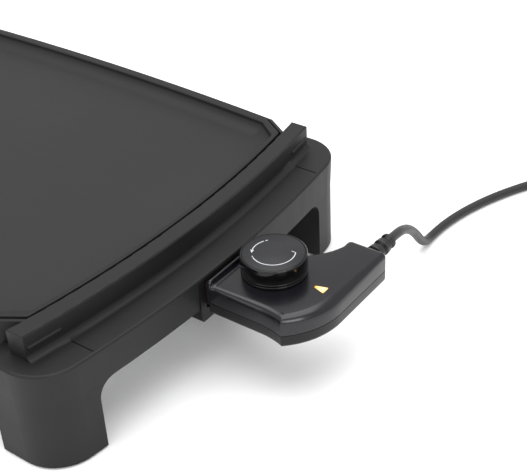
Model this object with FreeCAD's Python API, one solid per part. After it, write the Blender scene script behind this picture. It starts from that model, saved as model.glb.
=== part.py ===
"""Electric griddle with a pull-off thermostat plug, a drip tray and a coiled mains lead.

Millimetres, +Z up, Z = 0 on the worktop. While it is modelled, X = 0 is the middle of the
griddle itself; every piece is then shifted so that X = 0 is the middle of the griddle with its
controller plugged in. +X points to the controller end, and Y runs across the griddle.
"""

import FreeCAD, Part
import math
import os

V = FreeCAD.Vector

# ---- griddle: overall sizes --------------------------------------------------------------
griddle_length = 590.0
griddle_depth = 300.0
deck_height = 72.0
foot_height = 1.5
foot_plug_height = 8.0

# ---- end housings ------------------------------------------------------------------------
end_bow_radius = 885.0
deck_corner_radius = 29.5
housing_reach = 58.0
housing_wall = 2.6
deck_thickness = 3.0
deck_edge_round = 1.6
skirt_height = 22.7
skirt_draft = 1.0
leg_draft = 0.2
leg_width = 37.7
arch_radius = 12.0
rail_height = 16.75
rail_inset = 22.48
rail_width = 11.86
rail_inner_radius = 725.0
rail_outer_radius = 803.0
rail_end_inset = 12.5
rail_wall = 3.0
rail_foot_round = 4.0
rail_top_round = 1.0
seam_offset = 38.8
seam_width = 0.9
seam_depth = 0.7
bead_height = 8.0
bead_radius = 1.3

# ---- side rails --------------------------------------------------------------------------
side_bow_radius = 2600.0
side_inset = 4.1
side_lip_width = 1.8
side_lip_height = 14.8
side_flange_width = 18.0
side_flange_thickness = 1.6
rail_end_gap = 0.3
rail_boss_radius = 4.5
rail_boss_length = 14.0

# ---- griddle plate -----------------------------------------------------------------------
plate_gap = 2.0
plate_side_gap = 1.0
plate_rim_height = 15.8
dish_depth = 8.0
plate_thickness = 5.0
rim_width_end = 3.5
rim_width_side = 5.5
dish_wall_steep = 3.0
dish_wall_run = 11.5
dish_steep_drop = 5.0
plate_corner_x = 18.5
plate_corner_y = 8.7
drain_radius = 4.0
drain_from_end = 73.0
spout_wall = 2.0
spout_drop = 4.0
plate_edge_round = 0.8
shield_thickness = 0.8
shield_side_gap = 12.0
shield_gap = 1.0
shield_drop = 0.9

# ---- heating element ---------------------------------------------------------------------
element_diameter = 6.6
element_side_inset = 55.1
element_far_inset = 95.0
element_near_inset = 45.0
element_seat_gap = 0.3
terminal_overlap = 4.0
channel_margin = 3.0
channel_depth = 8.0
element_bend = 10.0
terminal_pin_diameter = 4.6
terminal_spacing = 28.0
pin_tip_inset = 6.0
insulator_diameter = 9.0
insulator_length = 6.0

# ---- plug axis, socket guard and probe ---------------------------------------------------
guard_side_gap = 2.5
guard_top_wall = 1.05
guard_bottom_wall = 8.35
guard_slack = 0.2
guard_edge_round = 2.0
guard_depth = 24.0
guard_proud = 0.6
socket_clearance = 1.2
probe_diameter = 5.0
probe_clearance = 0.3
probe_reach = 118.0
sleeve_length = 70.0
sleeve_half_width = 7.0
sleeve_half_height = 4.4

# ---- controller --------------------------------------------------------------------------
controller_back = 3.5
controller_thickness = 21.0
parting_drop = 2.3
parting_gap = 0.4
controller_wall = 2.2
controller_half_width = 26.0
controller_turn_radius = 48.0
controller_reach = 76.9
controller_end_y = 61.5
arm_inner_x = 49.0
edge_round = 3.5
bottom_round = 2.5
lip_height = 3.6
lip_width = 2.4
lip_depth = 6.0
lip_corner_round = 2.6
lip_edge_round = 0.8
toe_angle = -51.0
flare_reach = 42.0
sweep_reach = 17.0
arm_tip_round = 3.4
knob_x = 28.9
knob_y = 8.3
knob_radius = 20.6
knob_height = 13.4
knob_gap = 0.45
knob_wall = 1.8
knob_rim_width = 1.4
knob_disc_thickness = 0.8
knob_disc_gap = 0.1
knob_edge_round = 0.9
knob_groove_levels = (1.6, 3.4)
knob_boss_wall = 2.5
knob_crown = 4.0
knob_boss_gap = 0.6
knob_boss_sink = 0.5
spindle_top_gap = 0.5
spindle_foot_rise = 3.2
spindle_flat_rise = 4.0
knob_groove_depth = 0.5
knob_groove_width = 0.7
spindle_radius = 3.0
spindle_clearance = 0.1
spindle_flat_depth = 0.8
bush_wall = 1.4
bush_flange_width = 3.0
bush_sink = 4.2
bush_proud = 0.2
clip_thickness = 0.6
clip_width = 2.0
clip_gap = 0.2
nose_half_width = 22.0
nose_margin = 1.75
nose_edge_round = 2.0
nose_fit = 0.2
nose_depth = 20.0
receptacle_clearance = 0.3
receptacle_wall = 0.9
receptacle_end_gap = 2.0
probe_tip_round = 2.0
probe_tail = 3.0
lens_proud = 0.25
lens_gap = 0.08
lens_near = 29.6
lens_far = 37.2
lens_half_width = 2.9
lens_point = 0.7
lens_angle = -0.5
lamp_radius = 2.4
lamp_length = 11.0
lamp_reach = 26.0
lamp_side = 1.6
lamp_drop = 3.2
frame_sheet = 1.2
frame_back = 18.0
frame_front = 16.0
frame_half_width = 8.0
frame_probe_gap = 0.7
frame_drop = 1.0
contact_rise = 2.0
contact_blade_half_length = 14.0
contact_blade_half_width = 3.0
contact_blade_thickness = 0.8
contact_post_length = 4.0
contact_button_radius = 2.2
contact_button_height = 1.4
contact_reach = 10.0
fixed_contact_radius = 2.4
terminal_block_half_length = 9.0
terminal_block_width = 11.0
terminal_block_inset = 14.5
terminal_block_height = 9.0
clamp_pitch = 5.5
clamp_radius = 1.6
clamp_depth = 3.0

# ---- strain relief, cord and plug --------------------------------------------------------
cord_diameter = 6.5
relief_length = 24.5
relief_root_radius = 6.3
relief_tip_radius = 5.2
relief_stem_radius = 4.8
relief_stem_length = 5.0
relief_collar_width = 1.8
relief_fit = 0.2
relief_groove_count = 3
relief_groove_start = 6.0
relief_groove_pitch = 5.6
relief_groove_width = 2.2
relief_groove_depth = 1.3
relief_x = 63.5
coil_inner_radius = 29.5
coil_outer_radius = 42.5
coil_layers = 2
coil_top_gap = 0.1
cord_floor_gap = 0.05
tie_wall = 1.2
tie_half_width = 4.0
mains_plug_length = 38.0
mains_plug_width = 36.0
mains_plug_thickness = 24.0
blade_length = 18.0
blade_width = 6.3
blade_thickness = 1.6
blade_circle_radius = 8.2
blade_root = 3.0

# ---- drip tray ---------------------------------------------------------------------------
tray_length = 130.0
tray_width = 120.0
tray_drop = 3.4
tray_corner_round = 8.0
tray_lip_thickness = 1.6
tray_lip_start = 50.0
tray_pull_width = 56.0
tray_pull_height = 9.0
tray_pull_reach = 3.0
tray_depth = 16.0
tray_wall = 1.4
tray_lip = 5.0
tray_front_inset = 6.0
runner_gap = 0.5
runner_wall = 1.6
runner_tab = 14.0
runner_overlap = 14.0
runner_end_gap = 1.5

# ---- fasteners ---------------------------------------------------------------------------
screw_radius = 2.0
screw_clearance = 0.2
screw_bite = 4.5
plate_screw_end_inset = 9.0
plate_screw_side_inset = 55.0
spacer_radius = 6.0
spacer_clearance = 0.4
rail_screw_rise = 10.0
rail_screw_margin = 1.5
case_post_radius = 3.4
case_screw_radius = 1.4
case_head_radius = 2.8
case_head_height = 1.8
case_head_sink = 0.2
case_screw_bite = 6.4
case_post_gap = 1.0
case_pilot_gap = 4.0
case_hole_clearance = 0.3
screw_head_radius = 3.8
screw_head_height = 2.2

# ---- derived places ----------------------------------------------------------------------
half_length = griddle_length / 2
half_depth = griddle_depth / 2
guard_half_width = controller_half_width + guard_side_gap
nose_height = controller_thickness - 2 * nose_margin
socket_half_height = nose_height / 2 + socket_clearance
guard_top = deck_height - deck_thickness - guard_slack
plug_axis_z = guard_top - guard_top_wall - socket_half_height
guard_bottom = plug_axis_z - socket_half_height - guard_bottom_wall
controller_top = plug_axis_z + controller_thickness / 2
shield_top = plug_axis_z - insulator_diameter / 2 - shield_drop
side_rail_bottom = shield_top - shield_thickness - side_flange_thickness
side_half_depth = half_depth - side_inset
rail_half_span = half_depth - rail_end_inset
tray_top = side_rail_bottom - tray_drop
knob_disc_radius = knob_radius - knob_rim_width
skirt_bottom = deck_height - skirt_height
housing_back = half_length - housing_reach
leg_inner = half_depth - leg_width
seam_y = half_depth - seam_offset
rail_outer_x = half_length - rail_inset
rail_inner_x = rail_outer_x - rail_width
rail_top = deck_height + rail_height
rim_top = deck_height + plate_rim_height
dish_floor = rim_top - dish_depth
plate_bottom = dish_floor - plate_thickness
plate_half_length = rail_inner_x - plate_gap
plate_end_radius = rail_inner_radius - plate_gap
plate_half_depth = side_half_depth - side_lip_width - plate_side_gap
plate_side_radius = side_bow_radius - side_lip_width - plate_side_gap
controller_bottom = controller_top - controller_thickness
parting_z = plug_axis_z - parting_drop
parting_height = parting_z - controller_bottom
case_floor = controller_bottom + controller_wall
spindle_x = half_length + knob_x
spindle_top = controller_top + knob_gap + knob_height - knob_crown - spindle_top_gap
nose_end = half_length + controller_back + controller_wall
coil_height = coil_layers * cord_diameter + coil_top_gap
coil_mean_radius = (coil_inner_radius + coil_outer_radius) / 2
cord_floor = cord_diameter / 2 + cord_floor_gap
origin_shift = -controller_reach / 2
element_radius = element_diameter / 2
element_z = plate_bottom - element_radius - element_seat_gap
element_half_width = plate_half_depth - element_side_inset
element_far_x = half_length - element_far_inset
element_near_x = housing_back - element_near_inset
terminal_start = housing_back - terminal_overlap
reflector_z = side_rail_bottom + side_flange_thickness
drain_x = -(half_length - drain_from_end)


# ---- small geometry helpers --------------------------------------------------------------
def bow(radius, offset):
    """How far an arc of this radius falls back at this distance from its crown."""
    return radius - math.sqrt(radius * radius - offset * offset)


def line(a, b):
    return Part.LineSegment(a, b).toShape()


def arc(a, b, c):
    return Part.Arc(a, b, c).toShape()


def box(x0, x1, y0, y1, z0, z1):
    """A box between two opposite corners."""
    return Part.makeBox(x1 - x0, y1 - y0, z1 - z0, V(x0, y0, z0))


def rod(radius, start, end):
    """A round bar between two points."""
    along = end - start
    return Part.makeCylinder(radius, along.Length, start, along)


def tube(outer, inner, start, end):
    return rod(outer, start, end).cut(rod(inner, start, end))


def prism(wire, height):
    """A solid from a flat closed wire, pulled up along Z."""
    return Part.Face(wire).extrude(V(0, 0, height))


def loft(wires):
    return Part.makeLoft(wires, True, True)


def join(first, *others):
    """One solid from touching pieces, with leftover seams removed."""
    return first.fuse(list(others)).removeSplitter()


def group(shapes):
    return Part.makeCompound(shapes)


def mirrored(shape, normal):
    return shape.mirror(V(0, 0, 0), normal)


def both_sides(shape):
    """The piece and its mirror image across the griddle."""
    return [shape, mirrored(shape, V(0, 1, 0))]


def both_ends(shape):
    return [shape, mirrored(shape, V(1, 0, 0))]


def moved(shape, dx, dy, dz):
    copy = shape.copy()
    copy.translate(V(dx, dy, dz))
    return copy


def fillet_where(shape, radius, wanted):
    """Rounds the edges whose middle point satisfies the test."""
    edges = []
    for edge in shape.Edges:
        middle = edge.valueAt((edge.FirstParameter + edge.LastParameter) / 2)
        if wanted(middle, edge):
            edges.append(edge)
    return shape.makeFillet(radius, edges)


def fillet_radii(points):
    """For each inner point of a route: 0.45 of its shorter run, over tan of half the turn."""
    radii = []
    for before, here, after in zip(points, points[1:], points[2:]):
        run_in = here - before
        run_out = after - here
        turn = run_in.getAngle(run_out)
        shorter = min(run_in.Length, run_out.Length)
        radii.append(0.45 * shorter / math.tan(turn / 2))
    return radii


def rounded_path(points, radii):
    """Straight runs through the points, joined by tangent arcs of the given radii."""
    edges = []
    start = points[0]
    for before, here, after, radius in zip(points, points[1:], points[2:], radii):
        back = (before - here).normalize()
        ahead = (after - here).normalize()
        half_turn = (math.pi - back.getAngle(ahead)) / 2
        reach = radius * math.tan(half_turn)
        tangent_in = here + back * reach
        tangent_out = here + ahead * reach
        inward = (back + ahead).normalize()
        crown = here + inward * (radius / math.cos(half_turn) - radius)
        edges.append(line(start, tangent_in))
        edges.append(arc(tangent_in, crown, tangent_out))
        start = tangent_out
    edges.append(line(start, points[-1]))
    return Part.Wire(edges)


def pipe(path, radius):
    """A round bar swept along a path."""
    first = path.Edges[0]
    start = first.valueAt(first.FirstParameter)
    direction = first.tangentAt(first.FirstParameter)
    ring = Part.Wire([Part.Circle(start, direction, radius).toShape()])
    return path.makePipeShell([ring], True, False)


# ---- griddle plan outlines ---------------------------------------------------------------
def bowed_outline(length, depth, end_radius, side_radius, corner_x, corner_y, z):
    """A four-sided outline of shallow arcs with slanted corners."""
    tip = depth - bow(side_radius, length)
    end_y = tip - corner_y
    end_x = length - bow(end_radius, end_y)
    side_x = end_x - corner_x
    side_y = depth - bow(side_radius, side_x)
    right = arc(V(end_x, -end_y, z), V(length, 0, z), V(end_x, end_y, z))
    left = arc(V(-end_x, end_y, z), V(-length, 0, z), V(-end_x, -end_y, z))
    far = arc(V(side_x, side_y, z), V(0, depth, z), V(-side_x, side_y, z))
    near = arc(V(-side_x, -side_y, z), V(0, -depth, z), V(side_x, -side_y, z))
    edges = [right, line(V(end_x, end_y, z), V(side_x, side_y, z)), far]
    edges.append(line(V(-side_x, side_y, z), V(-end_x, end_y, z)))
    edges.append(left)
    edges.append(line(V(-end_x, -end_y, z), V(-side_x, -side_y, z)))
    edges.append(near)
    edges.append(line(V(side_x, -side_y, z), V(end_x, -end_y, z)))
    return Part.Wire(edges)


def plate_outline(end_inset, side_inset, z):
    """The plate's outline, drawn in (or, if negative, out) by these amounts."""
    return bowed_outline(
        plate_half_length - end_inset,
        plate_half_depth - side_inset,
        plate_end_radius - end_inset,
        plate_side_radius - side_inset,
        plate_corner_x - 0.6 * max(end_inset, 0),
        plate_corner_y + 0.1 * side_inset,
        z,
    )


def deck_outline(inset, z, back_x):
    """The end housing's outline: bowed end, round corners, straight sides and back."""
    radius = end_bow_radius - inset
    corner = deck_corner_radius - inset
    side = half_depth - inset
    centre_x = half_length - end_bow_radius
    corner_y = side - corner
    corner_x = centre_x + math.sqrt((radius - corner) ** 2 - corner_y**2)
    lean = math.atan2(corner_y, corner_x - centre_x)
    middle = (lean + math.pi / 2) / 2
    end = V(centre_x + radius * math.cos(lean), radius * math.sin(lean), z)
    crown = V(corner_x + corner * math.cos(middle), corner_y + corner * math.sin(middle), z)
    flank = V(corner_x, side, z)
    back = V(back_x, side, z)

    def flip(point):
        return V(point.x, -point.y, point.z)

    edges = [
        arc(flip(end), V(half_length - inset, 0, z), end),
        arc(end, crown, flank),
        line(flank, back),
        line(back, flip(back)),
        line(flip(back), flip(flank)),
        arc(flip(flank), flip(crown), flip(end)),
    ]
    return Part.Wire(edges)


def rail_outline(inset, z):
    """The upstand along the inner side of the deck, between two arcs."""
    span = rail_half_span - inset
    outer = rail_outer_x - inset
    inner = rail_inner_x + inset
    outer_end = outer - bow(rail_outer_radius, span)
    inner_end = inner - bow(rail_inner_radius, span)
    edges = [
        arc(V(outer_end, -span, z), V(outer, 0, z), V(outer_end, span, z)),
        line(V(outer_end, span, z), V(inner_end, span, z)),
        arc(V(inner_end, span, z), V(inner, 0, z), V(inner_end, -span, z)),
        line(V(inner_end, -span, z), V(outer_end, -span, z)),
    ]
    return Part.Wire(edges)


def arch_block(grow):
    """The gap between the legs, round in its top corners, run through along X."""
    half = leg_inner + grow
    top = skirt_bottom + grow
    radius = arch_radius + grow
    block = box(housing_back - 20, half_length + 20, -half, half, -10, top)
    return fillet_where(
        block,
        radius,
        lambda m, e: abs(m.z - top) < 0.01 and abs(abs(m.y) - half) < 0.01,
    )


# ---- end housings ------------------------------------------------------------------------
def housing_shell():
    """The moulded end housing: deck, upstand, skirt and two hollow legs."""
    leg_bottom = foot_height
    upper = loft(
        [
            deck_outline(skirt_draft, skirt_bottom, housing_back),
            deck_outline(0, deck_height, housing_back),
        ]
    )
    lower = loft(
        [
            deck_outline(skirt_draft + leg_draft, leg_bottom, housing_back),
            deck_outline(skirt_draft, skirt_bottom, housing_back),
        ]
    )
    upper = fillet_where(
        upper,
        deck_edge_round,
        lambda m, e: abs(m.z - deck_height) < 0.01 and m.x > housing_back + 1,
    )
    upstand = prism(rail_outline(0, deck_height - 1), rail_height + 1)
    body = upper.fuse([lower, upstand]).removeSplitter()
    body = fillet_where(
        body,
        rail_foot_round,
        lambda m, e: abs(m.z - deck_height) < 0.01
        and abs(m.y) < 1
        and abs(m.x - rail_outer_x) < 0.5,
    )
    body = fillet_where(
        body,
        rail_top_round,
        lambda m, e: abs(m.z - rail_top) < 0.01,
    )
    inset = housing_wall + skirt_draft
    hollow = prism(
        deck_outline(inset, -1, housing_back + housing_wall),
        deck_height - deck_thickness + 1,
    )
    leg_lining = arch_block(housing_wall).cut(arch_block(0))
    keep = leg_inner - arch_radius
    leg_lining = leg_lining.cut(box(0, half_length + 30, -keep, keep, -20, deck_height))
    hollow = hollow.cut(leg_lining)
    rail_hollow = prism(
        rail_outline(rail_wall, deck_height - deck_thickness - 1),
        rail_height + deck_thickness + 1 - rail_wall,
    )
    body = body.cut([hollow, rail_hollow, arch_block(0)])
    return body


def seam_groove():
    """The short groove across the deck that marks each corner plateau."""
    outer = half_length - bow(end_bow_radius, seam_y) - 2.4
    inner = rail_outer_x - bow(rail_outer_radius, seam_y) + rail_foot_round
    half = seam_width / 2
    return box(
        inner, outer, seam_y - half, seam_y + half, deck_height - seam_depth, deck_height + 1
    )


def corner_bead():
    """A round bead along the upstand's outer wall, beside each corner plateau."""
    z = deck_height + bead_height
    depth = bead_radius * 0.45

    def on_wall(y):
        return V(rail_outer_x - bow(rail_outer_radius, y) - depth, y, z)

    start = on_wall(seam_y + 2)
    middle = on_wall((seam_y + rail_half_span) / 2)
    end = on_wall(rail_half_span - 2)
    path = Part.Wire([arc(start, middle, end)])
    return pipe(path, bead_radius)


def housing_screw_places():
    """Where the plate is screwed down through the deck."""
    y = half_depth - plate_screw_side_inset
    return [V(housing_back + plate_screw_end_inset, sign * y, 0) for sign in (-1, 1)]


def rail_screw_places():
    side = side_half_depth - bow(side_bow_radius, housing_back)
    y = side - side_lip_width - rail_boss_radius - rail_screw_margin
    return [V(0, sign * y, side_rail_bottom + rail_screw_rise) for sign in (-1, 1)]


def end_housing(with_socket):
    """One end housing at +X, with or without the socket opening."""
    body = housing_shell()
    body = body.cut(both_sides(seam_groove()))
    body = body.fuse(both_sides(corner_bead())).removeSplitter()
    holes = []
    for place in housing_screw_places():
        hole = Part.makeCylinder(screw_radius + screw_clearance, 12, V(place.x, place.y, deck_height - 8))
        holes.append(hole)
    for place in rail_screw_places():
        start = V(housing_back - 2, place.y, place.z)
        holes.append(Part.makeCylinder(screw_radius + screw_clearance, 8, start, V(1, 0, 0)))
    if with_socket:
        back = half_length - guard_depth
        ceiling = deck_height - deck_thickness
        holes.append(box(back, half_length + 10, -guard_half_width, guard_half_width, 0, ceiling))
        half = terminal_spacing / 2 + insulator_diameter
        low = plug_axis_z - insulator_diameter
        high = plug_axis_z + insulator_diameter
        holes.append(box(housing_back - 2, housing_back + 6, -half, half, low, high))
    return body.cut(holes)


def foot():
    """A rubber foot that plugs into the open bottom of a leg."""
    inset = skirt_draft + housing_wall
    outline = deck_outline(inset, 0, housing_back + housing_wall)
    plug = prism(outline, foot_plug_height)
    inner = leg_inner + housing_wall
    keep = box(0, half_length + 10, inner, half_depth + 10, -1, 20)
    return plug.common(keep)


# ---- side rails --------------------------------------------------------------------------
def side_rail():
    """One long side rail: a lip that wraps the plate's corners, a wall and a bottom flange."""
    lip_top = deck_height + side_lip_height
    outer_gap = plate_side_gap + side_lip_width
    outer = prism(plate_outline(-outer_gap, -outer_gap, side_rail_bottom), lip_top)
    inner = prism(plate_outline(-plate_side_gap, -plate_side_gap, side_rail_bottom), lip_top)
    top_cut = box(-half_length, half_length, -half_depth - 9, half_depth + 9, lip_top, 300)
    ring = outer.cut([inner, top_cut])
    tip = plate_half_depth - bow(plate_side_radius, plate_half_length) - plate_corner_y
    ring = ring.common(box(-half_length, half_length, tip + 1.5, half_depth + 9, 0, 300))
    span = housing_back - rail_end_gap
    below = deck_height + rail_end_gap
    for sign in (-1, 1):
        start, end = sorted((sign * span, sign * half_length))
        ring = ring.cut(box(start, end, 0, half_depth + 9, 0, below))
    upstand = prism(rail_outline(-rail_end_gap, deck_height - 5), rail_height + 10)
    ring = ring.cut(both_ends(upstand))
    inner_line = Part.Face(plate_outline(-plate_side_gap, -plate_side_gap, side_rail_bottom))
    flange = inner_line.extrude(V(0, 0, side_flange_thickness))
    edge = side_half_depth - bow(side_bow_radius, span) - side_flange_width
    flange = flange.common(box(-span, span, edge, half_depth + 9, 0, 300))
    rail = ring.fuse(flange)
    for place in rail_screw_places()[1:]:
        for sign in (-1, 1):
            outer_end = V(sign * span, place.y, place.z)
            inner_end = V(sign * (span - rail_boss_length), place.y, place.z)
            boss = rod(rail_boss_radius, inner_end, outer_end)
            width = rail_boss_radius + 6
            x0 = min(inner_end.x, outer_end.x)
            x1 = max(inner_end.x, outer_end.x)
            web = box(x0, x1, place.y, place.y + width, place.z - 2, place.z + 2)
            web = web.common(inner_line.extrude(V(0, 0, 60)))
            rail = rail.fuse([boss, web])
    for place in rail_screw_places()[1:]:
        for sign in (-1, 1):
            outer_end = V(sign * (span + 1), place.y, place.z)
            inner_end = V(sign * (span - rail_boss_length + 3), place.y, place.z)
            rail = rail.cut(rod(screw_radius, inner_end, outer_end))
    return rail.removeSplitter()


def reflector():
    """A flat heat shield that lies on the side rails' flanges."""
    reach = housing_back - shield_gap
    half = plate_half_depth - bow(plate_side_radius, reach) - shield_side_gap
    half = min(half, rail_screw_places()[1].y - rail_boss_radius - shield_gap)
    sheet = box(-reach, reach, -half, half, reflector_z, reflector_z + shield_thickness)
    spout = drain_radius + spout_wall + shield_gap
    return sheet.cut(Part.makeCylinder(spout, 20, V(drain_x, 0, reflector_z - 5)))


# ---- griddle plate and heating element ---------------------------------------------------
def element_route():
    """Corner points of the heating element, from one terminal round to the other."""
    y = terminal_spacing / 2
    low = plug_axis_z
    high = element_z
    back = terminal_start
    near = [
        V(back, y, low),
        V(back - 13, y, low),
        V(back - 29, y, high),
        V(element_near_x, y, high),
        V(element_near_x, element_half_width, high),
        V(-element_far_x, element_half_width, high),
    ]
    far = [V(p.x, -p.y, p.z) for p in reversed(near)]
    return near + far


def element_path():
    points = element_route()
    radii = []
    for before, here, after in zip(points, points[1:], points[2:]):
        shorter = min((here - before).Length, (after - here).Length)
        radii.append(min(element_bend, 0.6 * shorter))
    return rounded_path(points, radii)


def heating_element():
    return pipe(element_path(), element_radius)


def channel_ribs():
    """The cast channel under the plate that holds the element."""
    half = element_radius + channel_margin
    bottom = plate_bottom - channel_depth
    top = plate_bottom + 0.5
    y = terminal_spacing / 2
    w = element_half_width
    ribs = []
    for sign in (-1, 1):
        side = sorted((sign * (w - half), sign * (w + half)))
        right = element_near_x + half
        ribs.append(box(-element_far_x - half, right, side[0], side[1], bottom, top))
        cross = sorted((sign * (y - half), sign * (w + half)))
        ribs.append(box(element_near_x - half, right, cross[0], cross[1], bottom, top))
    x0 = -element_far_x - half
    ribs.append(box(x0, x0 + 2 * half, -w - half, w + half, bottom, top))
    return ribs


def griddle_plate():
    """The whole casting: dished cooking surface, rim, element channel, drain and spout."""
    body = prism(plate_outline(0, 0, plate_bottom), rim_top - plate_bottom)
    body = fillet_where(body, plate_edge_round, lambda m, e: abs(m.z - rim_top) < 0.01)
    steep_z = rim_top - dish_steep_drop
    edge = plate_outline(rim_width_end, rim_width_side, rim_top + 0.01)
    above = prism(edge, 2)
    knee = plate_outline(
        rim_width_end + dish_wall_steep, rim_width_side + dish_wall_steep, steep_z
    )
    floor = plate_outline(
        rim_width_end + dish_wall_run, rim_width_side + dish_wall_run, dish_floor
    )
    dish = above.fuse([loft([edge, knee]), loft([knee, floor])])
    body = body.cut(dish)
    body = body.fuse(channel_ribs())
    spout_bottom = reflector_z - spout_drop
    spout_outer = drain_radius + spout_wall
    height = plate_bottom - spout_bottom + 0.5
    body = body.fuse(Part.makeCylinder(spout_outer, height, V(drain_x, 0, spout_bottom)))
    body = body.cut(Part.makeCylinder(drain_radius, 60, V(drain_x, 0, spout_bottom - 1)))
    body = body.cut(heating_element())
    cuts = []
    for place in housing_screw_places():
        for sign in (-1, 1):
            at = V(sign * place.x, place.y, plate_bottom - 1)
            cuts.append(Part.makeCylinder(screw_radius, 6, at))
    return body.cut(cuts).removeSplitter()


def plate_floor_zone():
    """The space inside the foot of the dish's wall, from the worktop to above the rim."""
    inset_end = rim_width_end + dish_wall_run
    inset_side = rim_width_side + dish_wall_run
    return prism(plate_outline(inset_end, inset_side, 0), rim_top + 1)


def plate_spacers():
    """Insulating washers that keep the hot plate off the housings."""
    pieces = []
    for place in housing_screw_places():
        low = V(place.x, place.y, deck_height)
        high = V(place.x, place.y, plate_bottom)
        pieces.extend(both_ends(tube(spacer_radius, screw_radius + spacer_clearance, low, high)))
    return group(pieces)


def screw(tip, direction, length):
    """A pan-head screw whose head's seat is at length from the tip."""
    seat = tip + direction * length
    shank = rod(screw_radius, tip, seat)
    head = Part.makeCylinder(screw_head_radius, screw_head_height, seat, direction)
    return shank.fuse(head).removeSplitter()


def plate_screws():
    pieces = []
    seat_z = deck_height - deck_thickness
    for place in housing_screw_places():
        tip = V(place.x, place.y, plate_bottom + screw_bite)
        pieces.extend(both_ends(screw(tip, V(0, 0, -1), tip.z - seat_z)))
    return group(pieces)


def rail_screws():
    pieces = []
    for place in rail_screw_places():
        seat_x = housing_back + housing_wall
        tip = V(housing_back - rail_boss_length + 4, place.y, place.z)
        pieces.extend(both_ends(screw(tip, V(1, 0, 0), seat_x - tip.x)))
    return group(pieces)


def terminal_pins():
    """Cold pins that carry the supply from the controller into the element."""
    pins = []
    for sign in (-1, 1):
        y = sign * terminal_spacing / 2
        start = V(terminal_start, y, plug_axis_z)
        end = V(half_length - pin_tip_inset, y, plug_axis_z)
        pin = rod(terminal_pin_diameter / 2, start, end)
        pins.append(fillet_where(pin, 1.6, lambda m, e: abs(m.x - end.x) < 0.01))
    return group(pins)


def terminal_insulators():
    beads = []
    for sign in (-1, 1):
        y = sign * terminal_spacing / 2
        start = V(terminal_start, y, plug_axis_z)
        end = V(terminal_start + insulator_length, y, plug_axis_z)
        beads.append(tube(insulator_diameter / 2, terminal_pin_diameter / 2, start, end))
    return group(beads)


def probe_sleeve():
    """The block under the plate that takes the controller's probe."""
    end = housing_back - 8
    start = end - sleeve_length
    low = plug_axis_z - sleeve_half_height
    body = box(start, end, -sleeve_half_width, sleeve_half_width, low, plate_bottom)
    bore = probe_diameter / 2 + probe_clearance
    hole = rod(bore, V(start + 8, 0, plug_axis_z), V(end + 1, 0, plug_axis_z))
    return body.cut(hole)


def socket_guard():
    """The frame round the socket, which steadies the controller's nose."""
    front = half_length + guard_proud - skirt_draft
    back = half_length - guard_depth
    w = guard_half_width
    half_out = w - guard_slack
    outer = box(back, front, -half_out, half_out, guard_bottom, guard_top)
    outer = fillet_where(
        outer,
        guard_edge_round,
        lambda m, e: abs(m.z - guard_bottom) < 0.01 and abs(abs(m.y) - w) < 1,
    )
    half = nose_half_width + socket_clearance
    low = plug_axis_z - socket_half_height
    high = plug_axis_z + socket_half_height
    return outer.cut(box(back - 1, front + 1, -half, half, low, high))


# ---- drip tray ---------------------------------------------------------------------------
def drip_tray():
    """An open tray with side lips that ride on the runners, and a pull at the outer end."""
    x0 = -half_length + tray_front_inset
    x1 = x0 + tray_length
    half = tray_width / 2
    low = tray_top - tray_depth
    body = box(x0, x1, -half, half, low, tray_top)
    body = fillet_where(
        body,
        tray_corner_round,
        lambda m, e: abs(abs(m.y) - half) < 0.01 and abs(m.z - tray_top + tray_depth / 2) < 1,
    )
    t = tray_wall
    hollow = box(x0 + t, x1 - t, -half + t, half - t, low + t, tray_top + 1)
    hollow = fillet_where(
        hollow,
        tray_corner_round - t,
        lambda m, e: abs(abs(m.y) - half + t) < 0.01 and abs(m.z - tray_top) < tray_depth / 2,
    )
    lip_low = tray_top - tray_lip_thickness
    lip = box(x0 + tray_lip_start, x1, -half - tray_lip, half + tray_lip, lip_low, tray_top)
    grip = tray_pull_width / 2
    front = x0 - tray_pull_reach
    pull = box(front, x0 + 1, -grip, grip, tray_top - tray_pull_height, tray_top)
    pull = fillet_where(
        pull, 2.5, lambda m, e: abs(abs(m.y) - grip) < 0.1 and abs(m.x - front) < 0.1
    )
    return body.fuse([lip, pull]).cut(hollow).removeSplitter()


def tray_runners():
    """Two folded runners under the heat shield that carry the tray's lips."""
    pieces = []
    x0 = -housing_back + runner_end_gap
    x1 = -half_length + tray_front_inset + tray_length + runner_overlap
    top = reflector_z
    lip_low = tray_top - tray_lip_thickness
    edge = tray_width / 2 + tray_lip + runner_gap
    shelf_low = lip_low - runner_gap - runner_wall
    for sign in (-1, 1):
        wall = sorted((sign * edge, sign * (edge + runner_wall)))
        shelf = sorted((sign * (tray_width / 2 + 1.0), sign * (edge + runner_wall)))
        wall_box = box(x0, x1, wall[0], wall[1], shelf_low, top)
        shelf_box = box(x0, x1, shelf[0], shelf[1], shelf_low, shelf_low + runner_wall)
        tab = sorted((sign * edge, sign * (edge + runner_tab)))
        tab_box = box(x0, x1, tab[0], tab[1], top - runner_wall, top)
        stop_box = box(x1 - runner_wall, x1, shelf[0], shelf[1], shelf_low, top)
        pieces.append(join(wall_box, shelf_box, tab_box, stop_box))
    return group(pieces)


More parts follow.
